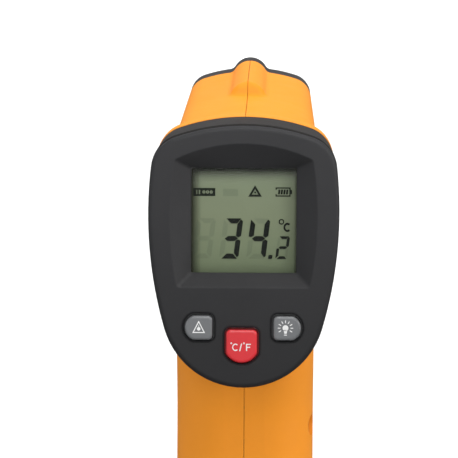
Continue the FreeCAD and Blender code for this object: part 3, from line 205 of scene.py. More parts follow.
# ------------------------------------------------------------------ kinds of material
def moulded(name, rgb, rough=0.46, grain=0.17, depth=0.012, strength=0.5, mottle=0.05,
            edge_wear_and_highlight=0.10, soften=0.22, coat=0.0, spec=0.5, flow=0.0, sss=0.0, dust=0.0,
            smudge=0.05, painted_foot_shade=0.0):
    """Moulded plastic: spark-eroded grain, colour variation, edges lightened by handling wear and
    a painted highlight, optional painted shade towards the foot of the display face, a little
    dust.

    grain, depth and soften (edge radius) are lengths; the rest are strengths.
    """
    mat = Material(name)
    pos = mat.coord()
    base = Vector(rgb)
    broad = mat.noise(pos, scale=0.045, detail=4.0, rough=0.55, warp=0.4)
    fine = mat.noise(pos, scale=0.9, rough=0.6)
    colour = mat.mix(mat.span(broad), base * (1 - mottle), base * (1 + mottle))
    colour = mat.mix(mat.span(fine, start=0.35, end=0.65, high=0.35), colour,
                     base * (1 - mottle * 0.8))
    if painted_foot_shade:
        # painted shade: darker towards the foot of the display face, standing in for the dimmer
        # light from below
        painted_foot_shade_mask = mat.span(mat.face_up(mat.xyz(pos)), start=26.0, end=-26.0, high=painted_foot_shade)
        colour = mat.mix(painted_foot_shade_mask, colour, base * 0.2)
    edge, soft = mat.edges(soften)
    # handling wear and painted highlight: lighter colour along sharp edges, where they catch the
    # light
    colour = mat.mix(mat.times(edge, edge_wear_and_highlight), colour,
                     [min(1.0, v * 1.6 + 0.02) for v in base])
    if dust:
        speck = mat.noise(pos, scale=1.7, detail=2.0, rough=0.7)
        colour = mat.mix(mat.span(speck, start=0.69, end=0.75, high=dust), colour,
                         [v * 0.6 + 0.14 for v in base])
    grains = mat.voronoi(pos, scale=1.0 / grain, smooth=0.6)
    small = mat.noise(pos, scale=2.2 / grain, detail=2.0, rough=0.6)
    height = mat.plus(mat.times(grains, 0.9), mat.times(small, 0.5))
    if flow:
        waves = mat.noise(pos, scale=0.02, detail=2.0, rough=0.4)
        height = mat.plus(height, mat.times(waves, flow))
    # roughness: smudges, duller between the grains, polished along the edges
    smears = mat.noise(pos, scale=0.06, detail=5.0, rough=0.6, warp=0.8)
    dull = mat.span(smears, low=rough - smudge, high=rough + smudge)
    dull = mat.plus(dull, mat.times(mat.span(grains, start=0.0), 0.05))
    dull = mat.minus(dull, mat.times(edge, 0.08))
    look = {"Base_Color": colour, "Roughness": dull, "IOR": 1.5, "Specular_IOR_Level": spec,
            "Normal": mat.bump(height, strength, depth, soft)}
    if coat:
        look.update(Coat_Weight=coat, Coat_Roughness=0.12, Coat_Normal=soft)
    if sss:
        look.update(Subsurface_Weight=sss, Subsurface_Radius=(0.0012, 0.0006, 0.0003),
                    Subsurface_Scale=1.0)
    return mat.principled(**look)


def metal(name, rgb, rough=0.28, brush=(6.0, 6.0, 0.3), tarnish=0.12):
    """Drawn or turned metal: fine lines along the least stretched axis, patches of dulling."""
    mat = Material(name)
    lines = mat.noise(mat.coord(brush), scale=1.0, detail=4.0, rough=0.7)
    patch = mat.noise(mat.coord(), scale=0.35, detail=4.0, rough=0.6)
    base = Vector(rgb)
    colour = mat.mix(mat.span(patch, start=0.4, end=0.75), base, base * (1 - tarnish * 2.2))
    colour = mat.mix(mat.span(lines, high=0.4), colour, base * 0.82)
    soft = mat.edges(0.1)[1]
    dull = mat.plus(mat.span(patch, low=rough - 0.06, high=rough + 0.12), mat.times(lines, 0.06))
    return mat.principled(Base_Color=colour, Metallic=1.0, Roughness=dull,
                          Normal=mat.bump(lines, strength=0.25, depth=0.01, normal=soft))


def board(name):
    """Lacquered circuit board with copper tracks showing through the lacquer."""
    mat = Material(name)
    pos = mat.coord()
    tracks = mat.add("ShaderNodeTexBrick", props={"offset": 0.37}, Vector=pos, Scale=0.55,
                     Mortar_Size=0.09, Mortar_Smooth=0.2, Bias=0.0).outputs["Fac"]
    pads = mat.span(mat.voronoi(pos, scale=0.42), start=0.14, end=0.17, low=1.0, high=0.0)
    colour = mat.mix(mat.span(mat.noise(pos, scale=0.5)),
                     (0.008, 0.085, 0.03), (0.014, 0.12, 0.045))
    colour = mat.mix(mat.times(tracks, 0.8), colour, (0.03, 0.22, 0.075))
    colour = mat.mix(pads, colour, (0.62, 0.6, 0.55))
    height = mat.plus(mat.times(tracks, 0.6), pads)
    return mat.principled(
        Base_Color=colour, Roughness=mat.span(mat.noise(pos, scale=1.1), low=0.24, high=0.4),
        Normal=mat.bump(height, strength=0.4, depth=0.03),
        Metallic=mat.times(pads, 0.8), Coat_Weight=0.4)


def clear_sheet(name, tint=(0.93, 0.95, 0.92), reflect=1.0, rough=0.03):
    """Thin clear sheet with polish marks; it casts only the shadow of its tint."""
    mat = Material(name)
    fine = mat.noise(mat.coord(), scale=0.12, detail=1.0)
    fresnel = mat.add("ShaderNodeFresnel", IOR=1.47).outputs[0]
    polish = mat.span(fine, start=0.4, end=0.8, low=rough, high=rough + 0.02)
    glossy = mat.add("ShaderNodeBsdfGlossy", Color=(1.0, 1.0, 1.0), Roughness=polish)
    stain = mat.mix(mat.span(fine), tint, [v * 0.985 for v in tint])
    clear = mat.add("ShaderNodeBsdfTransparent", Color=stain)
    shine = mat.times(mat.times(fresnel, reflect),
                      mat.minus(1.0, mat.light_path("Is Shadow Ray")))
    return mat.surface(mat.mix_shader(shine, clear.outputs[0], glossy.outputs[0]))


# tones of the display film with painted shade: darker at the foot and a painted shadow of the
# recess's top wall along the top; position from foot to top, 8-bit colour
LCD_PAINTED_SHADE_TONES = [
    (0.0, (108, 116, 96)), (0.037, (120, 128, 106)), (0.111, (130, 138, 115)),
    (0.27, (138, 145, 122)), (0.50, (146, 151, 129)), (0.66, (148, 153, 132)),
    (0.83, (151, 158, 137)), (0.873, (145, 151, 131)), (0.910, (129, 135, 117)),
    (0.929, (109, 113, 100)), (0.947, (86, 88, 78)), (0.957, (58, 59, 53)),
    (0.968, (22, 22, 19)), (1.0, (10, 10, 9)),
]


def lcd(name, dark=0.0):
    """The reflecting film of the display, with painted shade from the recess walls: darker towards
    its edges and top.
    """
    mat = Material(name)
    pos = mat.coord()
    axes = mat.xyz(pos)
    # painted shade up the face, from the tones above
    colour = mat.ramp(mat.span(mat.face_up(axes), start=-4.0, end=20.5),
                      [(position, srgb(*tone)) for position, tone in LCD_PAINTED_SHADE_TONES])
    # painted shade of the recess's side walls: the film darkens towards its left and right edges
    left = mat.span(axes["X"], start=-11.75, end=-9.7, low=0.08)
    right = mat.times(mat.span(axes["X"], start=12.1, end=11.35, low=0.35),
                      mat.span(axes["X"], start=11.4, end=8.0, low=0.76))
    film = mat.noise(pos, scale=0.35, detail=1.0)
    colour = mat.mix(mat.span(film, high=0.06), colour, srgb(150, 157, 137))
    broad = mat.noise(pos, scale=0.08, detail=2.0)
    warm = mat.mix(1.0, colour, (1.04, 0.97, 0.92), blend="MULTIPLY")
    colour = mat.mix(mat.span(broad, high=0.22), colour, warm)
    # darken the film with the painted side-wall shade
    colour = mat.mix(mat.minus(1.0, mat.times(left, right)), colour, srgb(40, 38, 30))
    if dark:
        colour = mat.mix(dark, colour, srgb(60, 70, 66))
    return mat.principled(Base_Color=colour, Roughness=0.42, Specular_IOR_Level=0.2,
                          Normal=mat.bump(film, strength=0.05, depth=0.005))


def ink(name, rgb, under):
    """Printed ink: slightly uneven cover and thin spots that show what lies under."""
    mat = Material(name)
    pos = mat.coord()
    cover = mat.noise(pos, scale=3.0, detail=4.0, rough=0.7)
    thin = mat.span(cover, start=0.5, end=0.8, high=0.10)
    dull = mat.span(mat.noise(pos, scale=1.5), low=0.35, high=0.48)
    height = mat.noise(pos, scale=14.0, detail=2.0)
    return mat.principled(Base_Color=mat.mix(thin, rgb, under), Roughness=dull,
                          Normal=mat.bump(height, strength=0.3, depth=0.01))


def segment_ink(name, rgb):
    """Switched-on liquid crystal: dark, with lighter clouds."""
    mat = Material(name)
    cloud = mat.span(mat.noise(mat.coord(), scale=0.7))
    return mat.principled(Base_Color=mat.mix(cloud, rgb, [v * 1.25 for v in rgb]),
                          Roughness=0.5, Specular_IOR_Level=0.15)


def cell_sleeve(name):
    """Shrink sleeve of a dry cell: dark wrap, bright band at the upper end, bare metal tip."""
    mat = Material(name)
    pos = mat.coord()
    height = mat.xyz(pos)["Z"]
    cloud = mat.noise(pos, scale=0.4, detail=4.0, rough=0.6)
    colour = mat.mix(mat.span(cloud), (0.012, 0.014, 0.018), (0.02, 0.023, 0.03))
    colour = mat.mix(mat.span(height, *CELL_BAND_Z), colour, (0.62, 0.33, 0.1))
    colour = mat.mix(mat.span(height, *CELL_END_Z), colour, (0.68, 0.68, 0.66))
    wrinkle = mat.noise(pos, scale=0.9, detail=5.0, rough=0.7, warp=1.0)
    return mat.principled(
        Base_Color=colour, Roughness=mat.span(wrinkle, low=0.2, high=0.34),
        Normal=mat.bump(wrinkle, strength=0.15, depth=0.05),
        Metallic=mat.span(height, *CELL_BAND_Z, low=0.15, high=0.9), Coat_Weight=0.5)


def lens_film(name):
    """Milky infrared-clear plastic of the ring lens, with rings around its axis."""
    mat = Material(name)
    pos = mat.coord()
    axes = mat.xyz(pos)
    rise = mat.math("POWER", mat.minus(axes["Z"], LENS_Z), 2.0)
    radius = mat.math("SQRT", mat.plus(mat.times(axes["X"], axes["X"]), rise))
    rings = mat.math("SINE", mat.times(radius, 26.0))       # radians per millimetre
    cloud = mat.noise(pos, scale=0.5, detail=4.0, rough=0.6)
    colour = mat.mix(mat.span(cloud), (0.56, 0.58, 0.6), (0.66, 0.68, 0.69))
    return mat.principled(
        Base_Color=colour, Roughness=0.3, Normal=mat.bump(rings, strength=0.35, depth=0.03),
        IOR=1.5, Subsurface_Weight=0.35, Subsurface_Radius=(0.002, 0.002, 0.002),
        Subsurface_Scale=1.0, Coat_Weight=0.3)


# ------------------------------------------------------------------ the materials
YELLOW = moulded("thermometer_yellow", srgb(247, 152, 29), spec=0.32, rough=0.5, grain=0.2,
                 depth=0.01, strength=0.35, mottle=0.025, edge_wear_and_highlight=0.12, soften=0.3, flow=0.4,
                 smudge=0.04)
# the dark plastic carries painted shade towards the foot of the display face
DARK = moulded("thermometer_dark", srgb(47, 47, 49), rough=0.5, grain=0.19, strength=0.4,
               edge_wear_and_highlight=0.12, soften=0.45, flow=0.3, dust=0.06, spec=0.34, painted_foot_shade=0.45)
DARK_RIM = moulded("thermometer_dark_rim", srgb(43, 41, 40), rough=0.55, grain=0.19,
                   strength=0.4, soften=0.3, flow=0.3, dust=0.05, spec=0.3)
TRIGGER = moulded("trigger_satin", srgb(50, 50, 53), rough=0.4, grain=0.22, depth=0.01,
                  strength=0.3, edge_wear_and_highlight=0.22, soften=0.35, dust=0.06)
GREY_KEY = moulded("grey_key_gloss", srgb(108, 110, 112), rough=0.3, grain=0.3, depth=0.006,
                   strength=0.25, mottle=0.10, edge_wear_and_highlight=0.35, soften=0.3, coat=0.45,
                   smudge=0.08)
RED_KEY = moulded("red_key_gloss", srgb(214, 40, 48), rough=0.28, grain=0.3, depth=0.006,
                  strength=0.2, edge_wear_and_highlight=0.45, soften=0.3, coat=0.5, smudge=0.06, sss=0.08)
WINDOW = clear_sheet("display_window_clear", reflect=0.12, rough=0.01)
LASER_WINDOW = clear_sheet("laser_window_clear", tint=(0.85, 0.8, 0.8), rough=0.02)
LCD = lcd("lcd_film")
LCD_GHOST = lcd("lcd_ghost", dark=0.17)
LCD_SHADE = lcd("lcd_segment_shadow", dark=0.30)
LCD_SIGN = lcd("lcd_sign_on_field", dark=0.10)
SEGMENT = segment_ink("lcd_segment_on", srgb(26, 28, 27))
SEGMENT_SOFT = segment_ink("lcd_icon_on", srgb(32, 35, 32))
LENS = lens_film("ring_lens_milky")
GUIDE = moulded("light_guide_frosted", (0.72, 0.75, 0.72), rough=0.35, grain=0.4, mottle=0.03)
ZEBRA = moulded("zebra_rubber_pink", (0.55, 0.33, 0.33), rough=0.7, grain=0.25, mottle=0.08,
                edge_wear_and_highlight=0.0)
WHITE = moulded("white_part", (0.66, 0.66, 0.63), rough=0.45, grain=0.3, mottle=0.04)
BLACK = moulded("black_part", (0.018, 0.018, 0.019), rough=0.45, grain=0.25, mottle=0.08,
                edge_wear_and_highlight=0.3)
BOARD = board("circuit_board_lacquer")
STEEL = metal("steel_bright", (0.56, 0.56, 0.57), rough=0.3)
SPRING = metal("spring_steel_drawn", (0.6, 0.6, 0.61), rough=0.22, brush=(9.0, 1.0, 9.0))
BRASS = metal("brass_turned", (0.72, 0.5, 0.2), rough=0.25, brush=(5.0, 0.4, 5.0))
TIN = metal("tinned_steel_bright", (0.68, 0.68, 0.67), rough=0.2, tarnish=0.08)
CELL = cell_sleeve("cell_sleeve_dark")
RED_WIRE = moulded("wire_red", (0.42, 0.03, 0.025), rough=0.38, grain=0.4, mottle=0.06,
                   edge_wear_and_highlight=0.0)
BLACK_WIRE = moulded("wire_black", (0.025, 0.025, 0.026), rough=0.4, grain=0.4, mottle=0.06,
                     edge_wear_and_highlight=0.0)
WHITE_INK = ink("legend_white", (0.82, 0.82, 0.81), under=(0.4, 0.4, 0.4))

BY_SLOT = {
    "yellow_shell": YELLOW, "dark_shell": DARK, "trigger_plastic": TRIGGER,
    "grey_key": GREY_KEY, "red_key": RED_KEY, "clear_window": WINDOW, "lcd_glass": LCD,
    "lens_plastic": LENS, "light_guide": GUIDE, "zebra_rubber": ZEBRA, "white_plastic": WHITE,
    "black_plastic": BLACK, "circuit_board": BOARD, "steel": STEEL, "spring_steel": SPRING,
    "brass": BRASS, "tinned_steel": TIN, "cell_wrap": CELL, "wire_sleeve": RED_WIRE,
    "black_sleeve": BLACK_WIRE,
}
BY_NODE = {"bezel_rim": DARK_RIM, "laser_window": LASER_WINDOW}


def dress_frame():
    """Give every frame node its own material, or that of its slot."""
    subparts = frame["record"].get("subparts", [])
    slots = {part["node"]: part["material_slot"] for part in subparts}
    for name, obj in frame["nodes"].items():
        material = BY_NODE.get(name) or BY_SLOT[slots[name]]
        if not obj.material_slots:
            obj.data.materials.append(material)
        for slot in obj.material_slots:
            slot.material = material


dress_frame()


# ------------------------------------------------------------------ drawing on the display face
def build_object(name, bm, material, smooth=False):
    mesh = bpy.data.meshes.new(name)
    bm.to_mesh(mesh)
    bm.free()
    if smooth:
        for polygon in mesh.polygons:
            polygon.use_smooth = True
    obj = bpy.data.objects.new(name, mesh)
    scene.collection.objects.link(obj)
    mesh.materials.append(material)
    return obj


def sweep(start, extent, steps):
    """Angles from start through extent, both ends included."""
    return [start + extent * i / steps for i in range(steps + 1)]


def arc_points(x, y, radius, angles, stretch=1.0):
    """Points around x, y; stretch lengthens them upwards."""
    return [(x + radius * math.cos(a), y + radius * math.sin(a) * stretch) for a in angles]


def triangle(x, foot, half_width, top):
    return [(x - half_width, foot), (x + half_width, foot), (x, top)]


def anticlockwise(points):
    area = sum(points[i - 1][0] * points[i][1] - points[i][0] * points[i - 1][1]
               for i in range(len(points)))
    return points[::-1] if area < 0 else points


class Drawing:
    """Thin closed shapes in the display face, between two heights above it."""

    def __init__(self, low, high):
        self.bm = bmesh.new()
        self.low = low
        self.high = high

    def outline(self, points, height):
        """Vertices of an outline at one height, placed in the frame (metres)."""
        return [self.bm.verts.new((FACE + Vector((x, 0, 0)) + UP * y + OUT * height) * MM)
                for x, y in points]

    def prism(self, points):
        points = anticlockwise(points)
        low = self.outline(points, self.low)
        top = self.outline(points, self.high)
        self.bm.faces.new(low[::-1])
        self.bm.faces.new(top)
        for i in range(len(points)):
            j = (i + 1) % len(points)
            self.bm.faces.new((low[i], low[j], top[j], top[i]))

    def rectangle(self, left, foot, right, top):
        self.prism([(left, foot), (right, foot), (right, top), (left, top)])

    def band(self, outer, inner):
        """A closed band between two outlines with the same number of points."""
        outer_low, outer_top, inner_low, inner_top = [
            self.outline(points, height)
            for points in (outer, inner) for height in (self.low, self.high)]
        for i in range(len(outer)):
            j = (i + 1) % len(outer)
            self.bm.faces.new((outer_top[i], outer_top[j], inner_top[j], inner_top[i]))
            self.bm.faces.new((outer_low[j], outer_low[i], inner_low[i], inner_low[j]))
            self.bm.faces.new((outer_low[i], outer_low[j], outer_top[j], outer_top[i]))
            self.bm.faces.new((inner_low[j], inner_low[i], inner_top[i], inner_top[j]))

    def disc(self, x, y, radius, sides=28):
        self.prism(arc_points(x, y, radius, [2 * math.pi * i / sides for i in range(sides)]))

    def ring(self, x, y, inner, outer, sides=28):
        angles = [2 * math.pi * i / sides for i in range(sides)]
        self.band(arc_points(x, y, outer, angles), arc_points(x, y, inner, angles))

    def arc(self, x, y, radius, width, start, end, stretch):
        """A stroked arc between two angles in degrees."""
        start, end = math.radians(start), math.radians(end)
        angles = sweep(start, end - start, steps=22)
        outer = arc_points(x, y, radius + width / 2, angles, stretch)
        inner = arc_points(x, y, radius - width / 2, angles, stretch)
        self.prism(outer + inner[::-1])

    def stroke(self, x0, y0, x1, y1, width):
        """A straight stroke with round ends."""
        along = math.atan2(y1 - y0, x1 - x0)
        back = sweep(along + math.pi / 2, math.pi, steps=5)
        ahead = sweep(along - math.pi / 2, math.pi, steps=5)
        self.prism(arc_points(x0, y0, width / 2, back) + arc_points(x1, y1, width / 2, ahead))

    def inset_band(self, points, width):
        """A convex outline stroked inwards with sharp corners."""
        points = anticlockwise(points)
        inner = []
        for i in range(len(points)):
            before, corner, after = (Vector(points[k % len(points)]) for k in (i - 1, i, i + 1))
            arriving, leaving = (corner - before).normalized(), (after - corner).normalized()
            normal = Vector((-arriving.y, arriving.x))
            mitre = (normal + Vector((-leaving.y, leaving.x))).normalized()
            inner.append(tuple(corner + mitre * (width / max(0.2, mitre.dot(normal)))))
        self.band(points, inner)

    def place(self, name, material, body="housing", slot="lcd_glass"):
        bmesh.ops.recalc_face_normals(self.bm, faces=self.bm.faces)
        obj = build_object(name, self.bm, material)
        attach(obj, body)


# ------------------------------------------------------------------ the display
INK_LOW, INK_HIGH = -5.02, -4.93    # heights of the lit shapes, behind the face origin
SLANT = 0.125                       # sideways lean of the figures per unit of height
FIGURE_FOOT = -0.48
FIGURE_SIZE = (4.44, 9.17, 1.15)    # width, height, stroke of a large figure
TENTHS_SIZE = (2.72, 5.16, 0.62)
TENTHS_LEFT = 7.14
UNITS_LEFT = 0.46
FIGURE_PITCH = 6.18
LARGE_LIT = ("bcfg", "abcdg", "")   # lit segments of units, tens and hundreds
TENTHS_LIT = "abdeg"
POINT_LEFT = 5.54
HOLD_FIELD = (-11.5617, 13.7268, -6.5538, 15.5479)      # left, foot, right, top
LASER_SIGN_X = 2.4833


def seven_segment(drawing, left, foot, size, segments):
    """Segments of a leaning figure with mitred ends, from its lower left corner."""
    width, height, stroke = size
    gap = height / FIGURE_SIZE[1]       # the gaps are drawn for a large figure
    mid, half = height / 2, stroke * 0.5
    inner, under = width - stroke, height - stroke
    # x, y corners before the lean; a is the top bar, b to f follow clockwise, g is the middle
    shapes = {
        "a": [(0.62 * gap, height), (width - 0.48 * gap, height),
              (inner - 0.06 * gap, under), (stroke + 0.66 * gap, under)],
        "b": [(width - 0.52 * gap, height - 0.2 * gap), (width, height - 0.66 * gap),
              (width, mid + 0.62 * gap), (width - half, mid + 0.24 * gap),
              (inner, mid + 0.6 * gap), (inner, under - 0.12 * gap)],
        "c": [(width - 0.34 * gap, 0.34 * gap), (width, 0.66 * gap),
              (width, mid - 0.48 * gap), (width - half, mid - 0.2 * gap),
              (inner, mid - 0.5 * gap), (inner, stroke + 0.16 * gap)],
        "d": [(0.62 * gap, 0), (width - 0.3 * gap, 0),
              (inner - 0.22 * gap, stroke), (stroke + 0.5 * gap, stroke)],
        "e": [(0.06, 0.3 * gap), (stroke, stroke + 0.2 * gap), (stroke, mid - 0.6 * gap),
              (half, mid - 0.3 * gap), (0, mid - 0.5 * gap)],
        "f": [(0.06, height - 0.25 * gap), (stroke, under - 0.2 * gap),
              (stroke, mid + 0.66 * gap), (half, mid + 0.36 * gap), (0, mid + 0.5 * gap)],
        "g": [(0.78 * gap, mid), (stroke + 0.36 * gap, mid + half),
              (inner - 0.2 * gap, mid + half), (width - 0.58 * gap, mid),
              (inner - 0.2 * gap, mid - half), (stroke + 0.36 * gap, mid - half)],
    }
    for segment in segments:
        drawing.prism([(left + x + SLANT * y, foot + y) for x, y in shapes[segment]])


def figures(drawing, lit=True, shift=(0.0, 0.0)):
    """Three large figures and the tenths: the lit segments and the point, or the unlit ones."""
    foot = FIGURE_FOOT + shift[1]
    places = [(UNITS_LEFT - FIGURE_PITCH * i, FIGURE_SIZE, on) for i, on in enumerate(LARGE_LIT)]
    places.append((TENTHS_LEFT, TENTHS_SIZE, TENTHS_LIT))
    for left, size, on in places:
        wanted = [segment for segment in "abcdefg" if (segment in on) == lit]
        seven_segment(drawing, left + shift[0], foot, size, wanted)
    if lit:
        # decimal point: centre and starting angle of each rounded corner
        corners = ((0.72, 0.2, -90), (0.8, 0.7, 0), (0.28, 0.7, 90), (0.2, 0.2, 180))
        points = []
        for x, y, start in corners:
            angles = sweep(math.radians(start), math.pi / 2, steps=3)
            points += arc_points(POINT_LEFT + shift[0] + x, foot + y, 0.2, angles)
        drawing.prism(points)


def lit_figures():
    drawing = Drawing(INK_LOW, INK_HIGH)
    figures(drawing)
    # degree ring and C
    drawing.ring(8.5157, 7.9676, inner=0.38, outer=0.64)
    drawing.arc(9.8815, 6.7156, radius=0.69, width=0.4, start=48, end=312, stretch=1.18)
    drawing.place("lcd_figures", SEGMENT)


def figure_shadow():
    """The shadow of the figures on the film behind, a little beside them."""
    drawing = Drawing(INK_LOW - 0.02, INK_HIGH - 0.045)
    figures(drawing, shift=(-0.10, -0.14))
    drawing.place("lcd_figure_shadow", LCD_SHADE)


def unlit_figures():
    """Faint unlit segments, and a small unlit field above them."""
    drawing = Drawing(INK_LOW - 0.03, INK_HIGH - 0.055)
    figures(drawing, lit=False)
    left, foot = -4.8010, 13.7495
    drawing.rectangle(left, foot, left + 3.4, foot + 1.6)
    drawing.place("lcd_figures_unlit", LCD_GHOST)


def battery(drawing):
    """Case open on the left, a nub on the right and four leaning bars inside."""
    left, foot, right, top = 7.1271, 13.6813, 10.5371, 15.7755
    mid = (foot + top) / 2
    wall, lip, margin = 0.28, 0.55, 0.5
    drawing.prism([(left, foot), (right, foot), (right, foot + wall), (left + wall, foot + wall),
                   (left + wall, foot + lip), (left, foot + lip)])
    drawing.prism([(left, top), (left, top - lip), (left + wall, top - lip),
                   (left + wall, top - wall), (right, top - wall), (right, top)])
    drawing.rectangle(right - wall, foot + wall, right, top - wall)
    drawing.prism([(right, mid - 0.55), (right + 0.35, mid - 0.4), (right + 0.35, mid + 0.4),
                   (right, mid + 0.55)])
    for i in range(4):
        x = left + 0.55 + i * 0.6
        drawing.prism([(x, foot + margin), (x + 0.44, foot + margin),
                       (x + 0.56, top - margin), (x + 0.12, top - margin)])


def icons():
    """Along the top: the hold field, laser on (triangle and dot) and battery level."""
    drawing = Drawing(INK_LOW, INK_HIGH)
    drawing.rectangle(*HOLD_FIELD)
    sign = triangle(LASER_SIGN_X, foot=13.6357, half_width=1.5479, top=16.2535)
    drawing.inset_band(sign, width=0.46)
    drawing.disc(2.5061, 14.5918, radius=0.2, sides=18)
    battery(drawing)
    drawing.place("lcd_icons", SEGMENT_SOFT)


def hold_signs():
    """Pale signs on the hold field: two upright bars and three rings."""
    drawing = Drawing(INK_HIGH - 0.01, INK_HIGH + 0.02)
    left, field_foot, _, field_top = HOLD_FIELD
    foot, top = field_foot + 0.42, field_top - 0.42
    for i in range(2):
        x = left + 0.62 + i * 0.62
        drawing.rectangle(x, foot, x + 0.32, top)
    for i in range(3):
        x = left + 2.42 + i * 0.82
        drawing.ring(x, (foot + top) / 2, inner=0.13, outer=0.36, sides=20)
    drawing.place("lcd_hold_signs", LCD_SIGN)


def laser_icon_heart():
    """Filling of the laser triangle, in the painted segment-shadow tone of the film."""
    drawing = Drawing(INK_LOW - 0.01, INK_HIGH - 0.03)
    drawing.prism(triangle(LASER_SIGN_X, foot=14.0227, half_width=0.77396, top=15.2519))
    drawing.place("lcd_icon_heart", LCD_SHADE)


lit_figures()
figure_shadow()
unlit_figures()
icons()
hold_signs()
laser_icon_heart()

# ------------------------------------------------------------------ legends printed on the keys
LEGEND = (0.885, 0.925)     # lower and upper height of the ink above the face origin


def laser_legend():
    """Warning triangle with a dot and a short stem."""
    drawing = Drawing(*LEGEND)
    x = -9.88
    drawing.inset_band(triangle(x, foot=-16.95, half_width=1.44, top=-14.15), width=0.22)
    drawing.disc(x, -16.02, radius=0.40)
    drawing.stroke(x, -15.7, x, -15.2, width=0.12)
    drawing.place("laser_key_legend", WHITE_INK, "laser_key", "grey_key")


def backlight_legend():
    """Lamp bulb with nine rays."""
    drawing = Drawing(*LEGEND)
    x, y = 9.55, -15.72
    drawing.disc(x, y, radius=0.66)
    drawing.prism([(x - 0.42, y - 0.4), (x - 0.26, y - 1.25), (x + 0.26, y - 1.25),
                   (x + 0.42, y - 0.4)])
    drawing.stroke(x - 0.24, y - 1.55, x + 0.24, y - 1.55, width=0.2)
    for i in range(9):
        angle = [math.radians(-30 + i * 30)]
        (start,), (end,) = arc_points(x, y, 1.2, angle), arc_points(x, y, 1.66, angle)
        drawing.stroke(*start, *end, width=0.19)
    drawing.place("backlight_key_legend", WHITE_INK, "backlight_key", "grey_key")


def unit_legend():
    """Degrees C, a slash, degrees F."""
    drawing = Drawing(*LEGEND)
    y = -20.1
    drawing.ring(-2.55, y + 0.9, inner=0.08, outer=0.2, sides=18)
    drawing.arc(-1.62, y, radius=0.62, width=0.21, start=44, end=316, stretch=1.14)
    drawing.prism([(-0.78, y - 0.86), (-0.54, y - 0.86), (-0.12, y + 0.86), (-0.36, y + 0.86)])
    drawing.ring(0.28, y + 0.9, inner=0.08, outer=0.2, sides=18)
    drawing.prism([(0.74, y - 0.8), (1.0, y - 0.8), (1.0, y - 0.1), (1.68, y - 0.1),
                   (1.68, y + 0.13), (1.0, y + 0.13), (1.0, y + 0.57), (1.82, y + 0.57),
                   (1.82, y + 0.8), (0.74, y + 0.8)])
    drawing.place("unit_key_legend", WHITE_INK, "unit_key", "red_key")


laser_legend()
backlight_legend()
unit_legend()


# ------------------------------------------------------------------ trigger return spring
def return_spring():
    """Round wire wound about Y with flat ends, built at one fixed length."""
    axis_z, radius, wire = 84.5, 2.3, 0.6
    start, end = 16.65, 31.0        # along Y, over the wire
    turns, flat_turns = 7.0, 0.8    # in all, and lying flat at each end
    steps, sides = int(turns * 28), 12
    bm = bmesh.new()
    rows = []
    for i in range(steps + 1):
        part = i / steps
        angle = 2 * math.pi * turns * part
        climb = (part * turns - flat_turns) / (turns - 2 * flat_turns)
        y = start + wire / 2 + (end - start - wire) * min(max(climb, 0.0), 1.0)
        centre = Vector((radius * math.cos(angle), y, axis_z + radius * math.sin(angle)))
        outward = Vector((math.cos(angle), 0, math.sin(angle)))
        row = []
        for k in range(sides):
            around = 2 * math.pi * k / sides
            spoke = outward * math.cos(around) + Vector((0, 1, 0)) * math.sin(around)
            row.append(bm.verts.new((centre + spoke * wire / 2) * MM))
        rows.append(row)
    for row, following in zip(rows, rows[1:]):
        for k in range(sides):
            m = (k + 1) % sides
            bm.faces.new((row[k], following[k], following[m], row[m]))
    bm.faces.new(rows[0])
    bm.faces.new(rows[-1][::-1])
    bmesh.ops.recalc_face_normals(bm, faces=bm.faces)
    coil = build_object("return_spring_wire", bm, SPRING, smooth=True)
    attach(coil, "housing")
    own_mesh(coil)
    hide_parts("trigger_return_spring")


return_spring()


# ------------------------------------------------------------------ studio (metres)
def studio_paper():
    """Pale paper, darker for bounced light."""
    mat = Material("studio_paper")
    cloud = mat.span(mat.noise(mat.coord(), scale=0.004))
    colour = mat.mix(cloud, (0.86, 0.86, 0.86), (0.89, 0.89, 0.885))
    colour = mat.mix(mat.light_path("Is Diffuse Ray"), colour, (0.58, 0.58, 0.58))
    return mat.principled(Base_Color=colour, Roughness=0.8)


def backdrop():
    """One seamless sheet: floor, a wide curve and a wall."""
    floor_start, bend_start, bend, wall_top = -2.2, 1.6, 1.2, 3.6
    drop = 0.0002       # the sheet lies this far below the ground plane
    profile = [(floor_start, 0.0), (bend_start, 0.0)]
    for i in range(1, 17):
        angle = math.pi / 2 * i / 16
        profile.append((bend_start + bend * math.sin(angle), bend * (1 - math.cos(angle))))
    profile.append((bend_start + bend, wall_top))
    bm = bmesh.new()
    rows = [[bm.verts.new((x, y, z - drop)) for x in (-3.4, -1.2, 0.0, 1.2, 3.4)]
            for y, z in profile]
    for row, following in zip(rows, rows[1:]):
        for i in range(4):
            bm.faces.new((row[i], row[i + 1], following[i + 1], following[i]))
    sheet = build_object("studio_sheet", bm, studio_paper(), smooth=True)
    sheet.visible_glossy = False


BODY = (0.0, 0.0, 0.11)
# name, place, aim, side of the square, power (W), colour, seen in reflections
LIGHTS = [
    ("key_top", (0.35, -0.15, 1.25), BODY, 0.9, 3.6, (1.0, 0.985, 0.96), True),
    ("top_near", (0.02, -0.12, 0.37), (0.0, 0.0, 0.13), 0.12, 0.16, (1, 1, 1), True),
    ("side_right", (1.1, -0.45, 0.55), BODY, 0.7, 4.2, (1.0, 0.98, 0.96), True),
    ("fill_left", (-1.15, -0.6, 0.5), BODY, 0.9, 1.6, (0.96, 0.98, 1.0), True),
    ("front_soft", (0.1, -1.35, 0.92), BODY, 0.8, 4.0, (1, 1, 1), True),
    ("back_light", (-0.2, 1.6, 1.6), (0, 1.0, 0.0), 1.6, 40.0, (1, 1, 1), False),
    ("wall_light", (0.0, 1.0, 0.9), (0, 2.8, 0.9), 1.4, 40.0, (1, 1, 1), False),
]


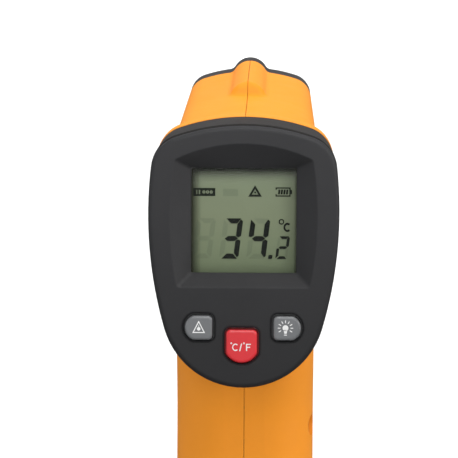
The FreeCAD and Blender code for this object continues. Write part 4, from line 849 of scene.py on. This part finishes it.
def lights():
    for name, place, aim, size, power, colour, reflected in LIGHTS:
        data = bpy.data.lights.new(name, "AREA")
        data.energy = power
        data.color = colour
        data.shape = "RECTANGLE"
        data.size = size
        data.size_y = size
        light = bpy.data.objects.new(name, data)
        scene.collection.objects.link(light)
        light.location = place
        direction = Vector(aim) - Vector(place)
        light.rotation_euler = direction.to_track_quat("-Z", "Y").to_euler()
        light.visible_camera = False
        light.visible_glossy = reflected


def surroundings():
    """A grey sky, brighter upwards, that the camera sees as plain white."""
    world = bpy.data.worlds.new("studio")
    scene.world = world
    world.use_nodes = True
    sky = Graph(world.node_tree)
    height = sky.xyz(sky.add("ShaderNodeTexCoord").outputs["Generated"])["Z"]
    # position from straight down to straight up, brightness
    greys = [(0.0, 0.10), (0.42, 0.16), (0.5, 0.36), (0.60, 0.62), (1.0, 0.78)]
    stops = [(position, (grey, grey * 1.005, grey * 1.02)) for position, grey in greys]
    background = sky.tree.nodes["Background"]
    sky.put(background, "Color", sky.ramp(sky.span(height, start=-1.0, end=1.0), stops))
    sky.put(background, "Strength", 0.7)
    white = sky.add("ShaderNodeBackground", Color=(0.98, 0.98, 0.985))
    seen = sky.mix_shader(sky.light_path("Is Camera Ray"), background.outputs[0],
                          white.outputs[0])
    sky.put(sky.tree.nodes["World Output"], "Surface", seen)


def camera():
    """Looks at the display face from in front and above, slightly from +X."""
    turn, rise, distance = math.radians(1.3), math.radians(17.4), 0.300
    back = Vector((math.sin(turn) * math.cos(rise), -math.cos(turn) * math.cos(rise),
                   math.sin(rise)))
    data = bpy.data.cameras.new("camera")
    data.lens = 105.3
    data.sensor_width = 36.0
    data.shift_x = -0.0312
    data.shift_y = 0.0622
    data.clip_start = 0.01
    data.clip_end = 20.0
    obj = bpy.data.objects.new("camera", data)
    scene.collection.objects.link(obj)
    obj.location = FACE * MM + back * distance
    obj.rotation_euler = (-back).to_track_quat("-Z", "Y").to_euler()
    scene.camera = obj


backdrop()
lights()
surroundings()
scene.view_settings.view_transform = "Standard"
scene.view_settings.look = "None"
scene.view_settings.exposure = 0.0
camera()
